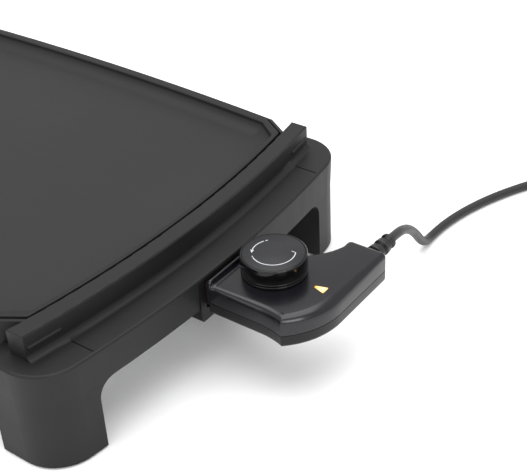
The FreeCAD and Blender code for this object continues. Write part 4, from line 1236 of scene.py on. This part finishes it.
# ---- the controller ----------------------------------------------------------------------
@dataclass(frozen=True)
class Controller:
    """The thermostat plug: a glossy two-part case shaped like a boomerang."""

    half_width: float = 0.026
    back_gap: float = 0.0035
    knob_reach: float = 0.0289
    knob_side: float = 0.0083
    turn_radius: float = 0.048
    toe_angle: float = -51.0
    end_y: float = 0.0615
    arm_inner: float = 0.049
    tip_round: float = 0.0034
    wall: float = 0.0022
    top_round: float = 0.0034
    bottom_round: float = 0.0025
    round_steps: int = 8
    lip_height: float = 0.0036
    lip_sections: int = 40
    lip_corner: float = 0.0026
    spindle_hole: float = 0.0045
    lens_near: float = 0.0296
    lens_far: float = 0.0372
    lens_half: float = 0.0029
    lens_point: float = 0.0007
    lens_clearance: float = 0.00018
    lens_corner: float = 0.0003
    lens_edge: tuple[tuple[float, float], ...] = ((0.0, 0.0003), (0.0001, 0.00008), (0.0003, 0.0))
    lens_glow: float = 0.0045
    screw_recess: float = 0.003
    recess_depth: float = 0.002
    parting_gap: float = 0.00025
    parting_bevel: float = 0.00012
    tongue_inset: float = 0.001
    lip_edge_round: float = 0.0012
    lip_cove: float = 0.0022
    lip_root: float = 0.004
    lip_foot: tuple[float, float] = (0.0056, -0.001)
    lip_steps: int = 6
    side_gap: float = 0.00005
    root_round: float = 0.001
    near_edge: tuple[tuple[float, float], ...] = ((0.014, 1.0), (0.028, 1.2))
    flare_start: float = 0.042
    flare_middle: tuple[float, float] = (0.0505, -0.02675)
    flare_softness: float = 1.3
    flare_softening: float = 0.025
    toe_round: float = 0.0008
    toe_softness: float = 1.5
    heel_softening: float = 0.4
    shoulder: tuple[tuple[float, float], ...] = ((0.03, 1.55), (0.048, 1.15))
    sweep_top: float = 0.054
    sweep_middle: tuple[float, float] = (0.039, 0.037)
    sweep_foot: float = 0.017
    screw_places: tuple[tuple[float, float], ...] = (
        (0.020, -0.019), (0.058, -0.010), (0.066, 0.030), (0.020, 0.0205),
    )

    @property
    def face_x(self) -> float:
        """Where the griddle's end face is."""
        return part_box("controller_upper_case")[0].x - self.back_gap

    @property
    def top(self) -> float:
        """Height of the flat top."""
        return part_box("controller_upper_case")[1].z - self.lip_height

    @property
    def knob_centre(self) -> Vector:
        """The knob's axis."""
        return Vector((self.face_x + self.knob_reach, self.knob_side, 0))

    def outline(self) -> Outline:
        """The case seen from above; its outer turn is concentric with the knob.

        Returns:
            The outline, with its softer stretches.
        """
        x0 = self.face_x
        centre = self.knob_centre

        def at(x: float, y: float) -> Vector:
            """A point from its distance past the end face."""
            return Vector((x0 + x, y, 0))

        def on_turn(degrees: float) -> Vector:
            """A point on the outer turn."""
            angle = math.radians(degrees)
            return centre + Vector((math.cos(angle), math.sin(angle), 0)) * self.turn_radius

        toe = on_turn(self.toe_angle)
        heel = on_turn(0)
        flare_from = at(self.flare_start, -self.half_width)
        flare = arc_through(flare_from, at(*self.flare_middle), toe, 9)
        turn = arc_through(toe, on_turn(self.toe_angle / 2), heel, 25)
        sweep_from = at(self.arm_inner, self.sweep_top)
        sweep_to = at(self.sweep_foot, self.half_width)
        sweep = arc_through(sweep_from, at(*self.sweep_middle), sweep_to, 21)
        corners = [Corner(at(self.back_gap, self.half_width), self.root_round)]
        corners.append(Corner(at(self.back_gap, -self.half_width), self.root_round))
        for x, softness in self.near_edge:
            corners.append(Corner(at(x, -self.half_width), 0.0, softness))
        for i, point in enumerate(flare[:-1]):
            corners.append(Corner(point, 0.0, self.flare_softness + self.flare_softening * i))
        corners.append(Corner(toe, self.toe_round, self.toe_softness))
        last = len(turn) - 1
        for i, point in enumerate(turn[1:], 1):
            softness = self.toe_softness + self.heel_softening * math.sin(math.pi / 2 * i / last)
            corners.append(Corner(point, 0.0, softness))
        for y, softness in self.shoulder:
            corners.append(Corner(at(heel.x - x0, y), 0.0, softness))
        corners.append(Corner(at(heel.x - x0, self.end_y), self.tip_round))
        corners.append(Corner(at(self.arm_inner, self.end_y), self.tip_round))
        corners.extend(Corner(point) for point in sweep)
        return Outline(tuple(corners), 8)

    def _lens_ring(self, grow: float, z: float) -> Ring:
        """The wedge-shaped lens, which points at the knob.

        Args:
            grow: How far the ring stands outside the lens.
            z: Height of the ring.

        Returns:
            The ring's points.
        """
        centre = self.knob_centre
        places = [
            (self.lens_near, -self.lens_point), (self.lens_far, -self.lens_half),
            (self.lens_far, self.lens_half), (self.lens_near, self.lens_point),
        ]
        corners = tuple(Corner(centre + Vector((x, y, 0)), self.lens_corner) for x, y in places)
        return Outline(corners, 3).ring(-grow, z)

    def build_upper(self) -> bpy.types.Object:
        """The upper case as a shell, with holes for the spindle and the lens.

        Returns:
            The upper case.
        """
        outline = self.outline()
        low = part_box("controller_upper_case")[0].z
        ceiling = self.top - self.wall
        mesh = bmesh.new()
        rings = [outline.ring(self.wall, ceiling), outline.ring(self.wall, low)]
        bevel = self.parting_bevel
        rings += [outline.ring(bevel, low), outline.ring(0, low + bevel)]
        for i in range(self.round_steps + 1):
            turn = math.pi / 2 * i / self.round_steps
            inset = self.top_round * (1 - math.cos(turn))
            drop = self.top_round * (1 - math.sin(turn))
            rings.append(outline.soft_ring(inset, self.top, drop))
        made = add_rings(mesh, rings)
        shaft = self.knob_centre
        holes = []
        for z in (self.top, ceiling):
            loops = [circle(shaft + Vector((0, 0, z)), self.spindle_hole, 32)]
            loops.append(self._lens_ring(self.lens_clearance, z))
            holes.append([[mesh.verts.new(point) for point in loop] for loop in loops])
        for upper, lower in zip(*holes):
            bridge(mesh, upper, lower)
        fill_between(mesh, [made[-1], *holes[0]])
        fill_between(mesh, [made[0], *holes[1]])
        self._add_lip(mesh)
        case = finish_mesh("controller_upper_shell", mesh)
        return settle(case, Body.CONTROLLER, GLOSS, ("controller_upper_case",))

    def _add_lip(self, mesh: bmesh.types.BMesh) -> None:
        """The raised lip along the back, which runs into the top in a small cove.

        Args:
            mesh: The mesh to add to.
        """
        back = self.face_x + self.back_gap
        height = self.lip_height
        edge_round = self.lip_edge_round
        section = [(0.0, -self.lip_root), (0.0, 0.0)]
        for i in range(self.lip_steps + 1):
            turn = math.pi * i / self.lip_steps
            rise = height - edge_round * (1 - math.sin(turn))
            section.append((edge_round * (1 - math.cos(turn)), rise))
        for i in range(self.lip_steps + 1):
            turn = math.pi / 2 * i / self.lip_steps
            reach = 2 * edge_round + self.lip_cove * (1 - math.cos(turn))
            section.append((reach, self.lip_cove * (1 - math.sin(turn))))
        section.append(self.lip_foot)
        rings = []
        edge = self.half_width - self.side_gap
        for i in range(self.lip_sections + 1):
            y = -edge * math.cos(math.pi * i / self.lip_sections)
            past = max(abs(y) - (self.half_width - self.lip_corner), 0.0)
            crown = bow(self.lip_corner, past)
            past = max(abs(y) - (self.half_width - self.top_round), 0.0)
            sag = bow(self.top_round, past)
            ring = []
            for out, up in section:
                share = min(max(up / height, 0.0), 1.0)
                z = self.top + up - crown * share - sag * (1 - share)
                ring.append(Vector((back + out, y, z)))
            rings.append(ring)
        made = add_rings(mesh, rings)
        mesh.faces.new(made[0])
        mesh.faces.new(made[-1])

    def build_lower(self) -> bpy.types.Object:
        """The lower case as a shell with a tongue into the upper and four screw recesses.

        Returns:
            The lower case.
        """
        outline = self.outline()
        low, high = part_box("controller_lower_case")
        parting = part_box("controller_upper_case")[0].z - self.parting_gap
        tongue, bevel = self.tongue_inset, self.parting_bevel
        mesh = bmesh.new()
        rings = [outline.ring(self.wall, low.z + self.wall), outline.ring(self.wall, high.z)]
        rings += [outline.ring(tongue, high.z), outline.ring(tongue, parting)]
        rings += [outline.ring(bevel, parting), outline.ring(0, parting - bevel)]
        for inset, z in rounding(self.bottom_round, low.z + self.bottom_round, low.z):
            rings.append(outline.ring(inset, z))
        made = add_rings(mesh, rings)
        holes = []
        for x, y in self.screw_places:
            centre = Vector((self.face_x + x, y, 0))
            recess = []
            for z in (low.z, low.z + self.recess_depth):
                recess.append(circle(centre + Vector((0, 0, z)), self.screw_recess, 24))
            sides = add_rings(mesh, recess)
            mesh.faces.new(sides[1])
            holes.append(sides[0])
        fill_between(mesh, [made[-1], *holes])
        fill_between(mesh, [made[0]])
        case = finish_mesh("controller_lower_shell", mesh)
        return settle(case, Body.CONTROLLER, LOWER_GLOSS, ("controller_lower_case",))

    def build_lens(self) -> bpy.types.Object:
        """The amber lens, a little proud of the top.

        Returns:
            The lens.
        """
        low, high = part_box("indicator_lens")
        rings = [self._lens_ring(0, low.z)]
        rings += [self._lens_ring(-inset, high.z - drop) for inset, drop in self.lens_edge]
        mesh = bmesh.new()
        made = add_rings(mesh, rings)
        fill_between(mesh, [made[0]])
        fill_between(mesh, [made[-1]])
        lens = finish_mesh("lamp_lens", mesh)
        middle = self.knob_centre.x + (self.lens_near + 2 * self.lens_far) / 3
        glass = LitLens(
            "amber_lens", (0.75, 0.5, 0.2), (1.0, 0.78, 0.34), (1.0, 0.36, 0.05),
            (middle, self.knob_centre.y), self.lens_glow,
        )
        return settle(lens, Body.CONTROLLER, glass, ("indicator_lens",))

    def build(self) -> None:
        """Builds the case and dresses what is inside it."""
        self.build_upper()
        self.build_lower()
        self.build_lens()
        dress(NOSE, "controller_nose")
        dress(BRASS, "contact_receptacles", "contact_blade", "fixed_contact", "spindle_bush")
        dress(PROBE, "sensing_probe")
        dress(SCREWS, "case_screws")
        dress(RUNNERS, "thermostat_frame")
        dress(LAMP_GLASS, "indicator_lamp")
        dress(TERMINALS, "terminal_block")


@dataclass(frozen=True)
class Knob:
    """The thermostat knob with its satin insert and printed arrows."""

    centre: Vector
    edge_round: float = 0.0009
    wall: float = 0.0018
    rim: float = 0.0014
    recess: float = 0.0008
    grooves: tuple[float, ...] = (0.0016, 0.0034)
    groove_width: float = 0.0007
    groove_depth: float = 0.0005
    groove_mouth: float = 0.00025
    groove_bevel: float = 0.0002
    groove_corner: float = 0.0001
    foot_bevel: float = 0.0003
    axis_radius: float = 0.0002
    insert_gap: float = 0.0001
    insert_bevel: float = 0.0002
    crown: float = 0.004
    mark_radius: float = 0.0133
    mark_width: float = 0.0006
    arcs: tuple[tuple[float, float], ...] = (
        (103.0, 110.0), (114.0, 166.0), (192.0, 196.0), (199.0, 350.0),
    )
    arc_step: float = 4.0
    head_span: tuple[float, float] = (164.0, 178.0)
    head_width: float = 1.9
    hook_at: float = 350.0
    hook_lean: float = 9.0
    hook_length: float = 0.0024
    mark_height: float = 0.00005
    bearing: float = 37.69

    def build(self) -> None:
        """Builds the knob, its insert and the marks."""
        low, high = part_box("thermostat_knob")
        radius = (high.x - low.x) / 2
        self._body(radius, high.z - low.z, low.z)
        self._insert(radius - self.rim - self.insert_gap, high.z)
        self._marks(high.z)
        dress(RUNNERS, "knob_spindle")
        dress(SCREWS, "spindle_clip")

    def _body(self, radius: float, height: float, foot: float) -> None:
        """The turned cup.

        Args:
            radius: Outer radius.
            height: Height from foot to top.
            foot: Height of the foot.
        """
        profile = [(radius - self.wall, 0.0), (radius - self.foot_bevel, 0.0)]
        profile.append((radius, self.foot_bevel))
        deep = radius - self.groove_depth
        shoulder = radius - self.groove_bevel
        corner = self.groove_corner
        for level in self.grooves:
            above = level + self.groove_width
            profile += [(radius, level - self.groove_mouth), (shoulder, level)]
            profile += [(deep, level + corner), (deep, above - corner)]
            profile += [(shoulder, above), (radius, above + self.groove_mouth)]
        edge = rounding(self.edge_round, height - self.edge_round, height)
        profile += [(radius - inset, z) for inset, z in edge]
        profile += [(radius - self.rim, height), (radius - self.rim, height - self.recess)]
        profile += [(self.axis_radius, height - level) for level in (self.recess, self.crown)]
        profile += [(radius - self.wall, height - self.crown)]
        place = Vector((self.centre.x, self.centre.y, foot))
        knob = lathe("knob_shell", place, profile, 128)
        settle(knob, Body.KNOB, KNOB_GLOSS, ("thermostat_knob",))

    def _insert(self, radius: float, top: float) -> None:
        """The satin disc set in the top.

        Args:
            radius: Radius of the disc.
            top: Height of its face.
        """
        thick = self.recess
        bevel = self.insert_bevel
        profile = [(self.insert_gap, 0.0), (radius, 0.0), (radius, thick - bevel)]
        profile += [(radius - bevel, thick), (self.insert_gap, thick)]
        place = Vector((self.centre.x, self.centre.y, top - thick))
        disc = lathe("knob_insert", place, profile, 128)
        satin = SatinInsert("knob_satin", tone(26, 26, 29), (self.centre.x, self.centre.y))
        settle(disc, Body.KNOB, satin, ("knob_disc",))

    def _marks(self, top: float) -> None:
        """Two printed arcs that end in arrowheads.

        Args:
            top: Height of the insert's face.
        """
        mesh = bmesh.new()
        for start, end in self.arcs:
            self._arc(mesh, start, end, top)
        self._head(mesh, *self.head_span, top)
        self._hook(mesh, self.hook_at, top)
        marks = finish_mesh("knob_marks", mesh)
        settle(marks, Body.KNOB, INK)

    def _point(self, degrees: float, radius: float, z: float) -> Vector:
        """A point on the insert, from its bearing and radius.

        Args:
            degrees: Bearing from the printed start.
            radius: Distance from the axis.
            z: Height.

        Returns:
            The point.
        """
        angle = math.radians(degrees + self.bearing)
        x = self.centre.x + radius * math.cos(angle)
        return Vector((x, self.centre.y + radius * math.sin(angle), z))

    def _arc(self, mesh: bmesh.types.BMesh, start: float, end: float, top: float) -> None:
        """A thin curved bar.

        Args:
            mesh: The mesh to add to.
            start: Bearing of its start, in degrees.
            end: Bearing of its end.
            top: Height of the insert's face.
        """
        half = self.mark_width / 2
        corners = ((-half, -self.mark_height), (half, -self.mark_height))
        corners += ((half, self.mark_height), (-half, self.mark_height))
        steps = max(int((end - start) / self.arc_step), 3)
        rings = []
        for i in range(steps + 1):
            way = start + (end - start) * i / steps
            rings.append([self._point(way, self.mark_radius + r, top + z) for r, z in corners])
        made = add_rings(mesh, rings)
        mesh.faces.new(made[0])
        mesh.faces.new(made[-1])

    def _hook(self, mesh: bmesh.types.BMesh, way: float, top: float) -> None:
        """A short bar that turns in from the end of the arc.

        Args:
            mesh: The mesh to add to.
            way: Bearing of the arc's end, in degrees.
            top: Height of the insert's face.
        """
        outer = self.mark_radius + self.mark_width / 2
        inner = self.mark_radius - self.hook_length
        spread = math.degrees(self.mark_width / self.mark_radius)
        lean = way + self.hook_lean
        outline = [(way, outer), (way + spread, outer), (lean + spread, inner), (lean, inner)]
        self._stamp(mesh, outline, top)

    def _head(self, mesh: bmesh.types.BMesh, start: float, end: float, top: float) -> None:
        """An arrowhead that points along the arc.

        Args:
            mesh: The mesh to add to.
            start: Bearing of its broad end, in degrees.
            end: Bearing of its tip.
            top: Height of the insert's face.
        """
        middle = self.mark_radius
        wide = self.mark_width * self.head_width
        self._stamp(mesh, [(start, middle - wide), (end, middle), (start, middle + wide)], top)

    def _stamp(
        self, mesh: bmesh.types.BMesh, outline: Sequence[tuple[float, float]], top: float
    ) -> None:
        """A flat mark, sunk by half its height.

        Args:
            mesh: The mesh to add to.
            outline: Bearing and radius of its corners.
            top: Height of the insert's face.
        """
        rings = []
        for z in (top - self.mark_height, top + self.mark_height):
            rings.append([self._point(degrees, radius, z) for degrees, radius in outline])
        made = add_rings(mesh, rings)
        mesh.faces.new(made[0])
        mesh.faces.new(made[1])


# ---- the lead ----------------------------------------------------------------------------
@dataclass(frozen=True)
class Lead:
    """The mains lead: one smooth line from the strain relief through the coil to the plug."""

    diameter: float = 0.0065
    length: float = 1.10
    coil_centre: tuple[float, float] = (0.39944, 0.29533)
    outer_turn: float = 0.03925
    inner_turn: float = 0.03275
    lower_layer: float = 0.0033
    upper_layer: float = 0.0098
    inward: tuple[float, float] = (270.0, 350.0)
    upward: tuple[float, float] = (540.0, 620.0)
    outward: tuple[float, float] = (845.0, 900.0)
    coil_start: float = 124.5
    coil_turns: int = 3
    steps_per_turn: int = 16
    route: tuple[Point, ...] = (
        (0.32005, 0.08600, 0.05780),
        (0.31885, 0.09800, 0.05600),
        (0.31555, 0.11300, 0.04950),
        (0.31155, 0.12900, 0.03850),
        (0.30805, 0.14400, 0.02450),
        (0.30575, 0.15600, 0.01100),
        (0.30435, 0.16650, 0.00400),
        (0.30375, 0.18000, 0.00330),
        (0.30515, 0.19800, 0.00330),
        (0.30915, 0.21800, 0.00330),
        (0.31615, 0.24000, 0.00330),
        (0.32535, 0.26100, 0.00330),
        (0.33635, 0.28100, 0.00330),
        (0.34905, 0.29900, 0.00330),
        (0.36205, 0.31500, 0.00330),
    )
    tail: tuple[Point, ...] = (
        (0.43904, 0.28333, 0.00985),
        (0.44044, 0.27233, 0.01000),
        (0.44294, 0.26133, 0.01050),
        (0.44494, 0.25033, 0.01150),
        (0.44544, 0.23933, 0.01200),
    )

    def _coil(self) -> list[Point]:
        """The coil's turns: outside below, inside below, inside above, outside above.

        Returns:
            The points of the coil's line.
        """
        x, y = self.coil_centre
        stretch = 1 / math.cos(math.pi / self.steps_per_turn)
        total = self.coil_start + 360 * self.coil_turns
        steps = round(total * self.steps_per_turn / 360)
        points = []
        for i in range(steps + 1):
            turned = total * i / steps
            radius = self.outer_turn - (self.outer_turn - self.inner_turn) * (
                self._ramp(turned, *self.inward) - self._ramp(turned, *self.outward)
            )
            rise = self._ramp(turned, *self.upward)
            height = self.lower_layer + (self.upper_layer - self.lower_layer) * rise
            angle = math.radians(self.coil_start - turned)
            reach = radius * stretch
            points.append((x + reach * math.cos(angle), y + reach * math.sin(angle), height))
        return points

    @staticmethod
    def _ramp(value: float, low: float, high: float) -> float:
        """A smooth step from 0 to 1."""
        share = min(max((value - low) / (high - low), 0.0), 1.0)
        return share * share * (3 - 2 * share)

    def build_cord(self) -> bpy.types.Object:
        """The cord itself, as one spline.

        Returns:
            The cord.
        """
        data = bpy.data.curves.new("power_lead", "CURVE")
        data.dimensions = "3D"
        data.bevel_depth = self.diameter / 2
        data.bevel_resolution = 5
        data.resolution_u = 6
        data.use_fill_caps = True
        points = [*self.route, *self._coil(), *self.tail]
        spline = data.splines.new("NURBS")
        spline.points.add(len(points) - 1)
        for point, place in zip(spline.points, points):
            point.co = (*place, 1.0)
        spline.order_u = 3
        spline.use_endpoint_u = True
        cord = link("power_lead", data)
        return settle(
            cord, Body.CONTROLLER, CORD_SHEATH, ("power_cord", "cord_coil", "power_cord_tail")
        )

    def build(self) -> None:
        cord = self.build_cord()
        StrainRelief().build()
        plug = MainsPlug(Vector(self.tail[-1])).build()
        dress(TIE, "cord_tie")
        dress(PINS, "plug_blades")


@dataclass(frozen=True)
class StrainRelief:
    """The ribbed boot where the lead leaves the controller."""

    tip_radius: float = 0.0052
    stem_radius: float = 0.0048
    stem_length: float = 0.005
    bore: float = 0.00322
    ribs: int = 3
    rib_depth: float = 0.0017
    bead: float = 0.0005
    groove_start: float = 0.4
    groove_steepness: float = 2.8
    fade_out: float = 8.0
    fade_in: float = 10.0
    steps: int = 72

    def build(self) -> bpy.types.Object:
        """A tapered boot with soft-edged grooves round it.

        Returns:
            The boot.
        """
        low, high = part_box("strain_relief")
        root = (high.x - low.x) / 2
        start = low.y + self.stem_length
        length = high.y - start
        axis = Vector(((low.x + high.x) / 2, start, (low.z + high.z) / 2))
        profile = [(self.bore, -self.stem_length), (self.stem_radius, -self.stem_length)]
        profile += [(self.stem_radius, 0.0), (root - self.bead, 0.0)]
        for i in range(self.steps + 1):
            share = i / self.steps
            wave = math.sin(math.pi * self.ribs * share * 2 - math.pi / 2) * 0.5 + 0.5
            fade = min((1 - share) * self.fade_out, share * self.fade_in, 1.0)
            radius = root + (self.tip_radius - root) * share
            sharp = max(min((wave - self.groove_start) * self.groove_steepness, 1.0), 0.0)
            sharp = sharp * sharp * (3 - 2 * sharp)
            profile.append((radius - self.rib_depth * sharp * fade, share * length))
        profile[-1] = (self.tip_radius - self.bead, length)
        profile.append((self.bore, length))
        turn = Matrix.Rotation(-math.pi / 2, 3, "X")
        boot = lathe("lead_boot", axis, profile, 64, turn)
        return settle(boot, Body.CONTROLLER, RELIEF_RUBBER, ("strain_relief",))


@dataclass(frozen=True)
class MainsPlug:
    """The moulded plug body, with a neck on the lead and finger ridges on its sides."""

    lead_end: Vector
    length: float = 0.038
    width: float = 0.036
    thickness: float = 0.0239
    neck: float = 0.0055
    ridges: int = 5
    ridge_depth: float = 0.0007
    edge_round: float = 0.0015
    mouth_radius: float = 0.0034
    mouth_bevel: float = 0.0006
    shoulder: tuple[float, float] = (0.1, 0.5)
    grip: tuple[float, float] = (0.42, 0.9)
    grip_fade: float = 0.06
    grip_side: float = 0.6
    squareness: float = 2.4
    body_start: float = 0.015
    body_run: float = 0.945
    steps: int = 48
    around: int = 48

    def _section(self, along: float, inset: float = 0.0) -> Ring:
        """A superellipse across the plug, from round at the neck to squarish at the face.

        Args:
            along: Distance from the lead's end.
            inset: How far the section is drawn in.

        Returns:
            The section's points.
        """
        share = along / self.length
        shoulder_start, shoulder_run = self.shoulder
        grip_start, grip_end = self.grip
        grown = min(max((share - shoulder_start) / shoulder_run, 0.0), 1.0)
        grown = grown * grown * (3 - 2 * grown)
        wide = self.neck + (self.width / 2 - self.neck) * grown
        thick = self.neck + (self.thickness / 2 - self.neck) * grown
        held = min(max((share - grip_start) / self.grip_fade, 0.0), 1.0)
        held *= min(max((grip_end - share) / self.grip_fade, 0.0), 1.0)
        phase = (share - grip_start) / (grip_end - grip_start)
        ridge = math.sin(math.pi * self.ridges * 2 * phase) * 0.5 + 0.5
        power = 2 / (2 + self.squareness * grown)
        points = []
        for i in range(self.around):
            angle = 2 * math.pi * i / self.around
            x, z = math.cos(angle), math.sin(angle)
            side = max(abs(x) - self.grip_side, 0.0) / (1 - self.grip_side)
            drawn = inset + self.ridge_depth * held * ridge * side
            across = math.copysign(abs(x) ** power, x) * (wide - drawn)
            up = math.copysign(abs(z) ** power, z) * (thick - inset)
            points.append(self.lead_end + Vector((across, -along, up)))
        return points

    def build(self) -> bpy.types.Object:
        """Lofts the sections and closes both ends.

        Returns:
            The plug body.
        """
        mesh = bmesh.new()
        rings = [self._section(0.0, self.neck - self.mouth_radius)]
        rings.append(self._section(0.0, self.mouth_bevel))
        for i in range(self.steps + 1):
            share = self.body_start + self.body_run * i / self.steps
            rings.append(self._section(self.length * share))
        edge = rounding(self.edge_round, self.length - self.edge_round, self.length, 5)
        rings += [self._section(along, inset) for inset, along in edge]
        made = add_rings(mesh, rings)
        fill_between(mesh, [made[0]])
        fill_between(mesh, [made[-1]])
        body = finish_mesh("mains_plug", mesh)
        return settle(body, Body.CONTROLLER, PLUG_RUBBER, ("plug_body",))


def main() -> None:
    """Builds everything in order."""
    logging.basicConfig(level=logging.INFO, format="%(message)s")
    Studio().build()
    Base().build()
    CookingPlate().build()
    controller = Controller()
    controller.build()
    Knob(controller.knob_centre).build()
    Lead().build()


if __name__ == "__main__":
    main()
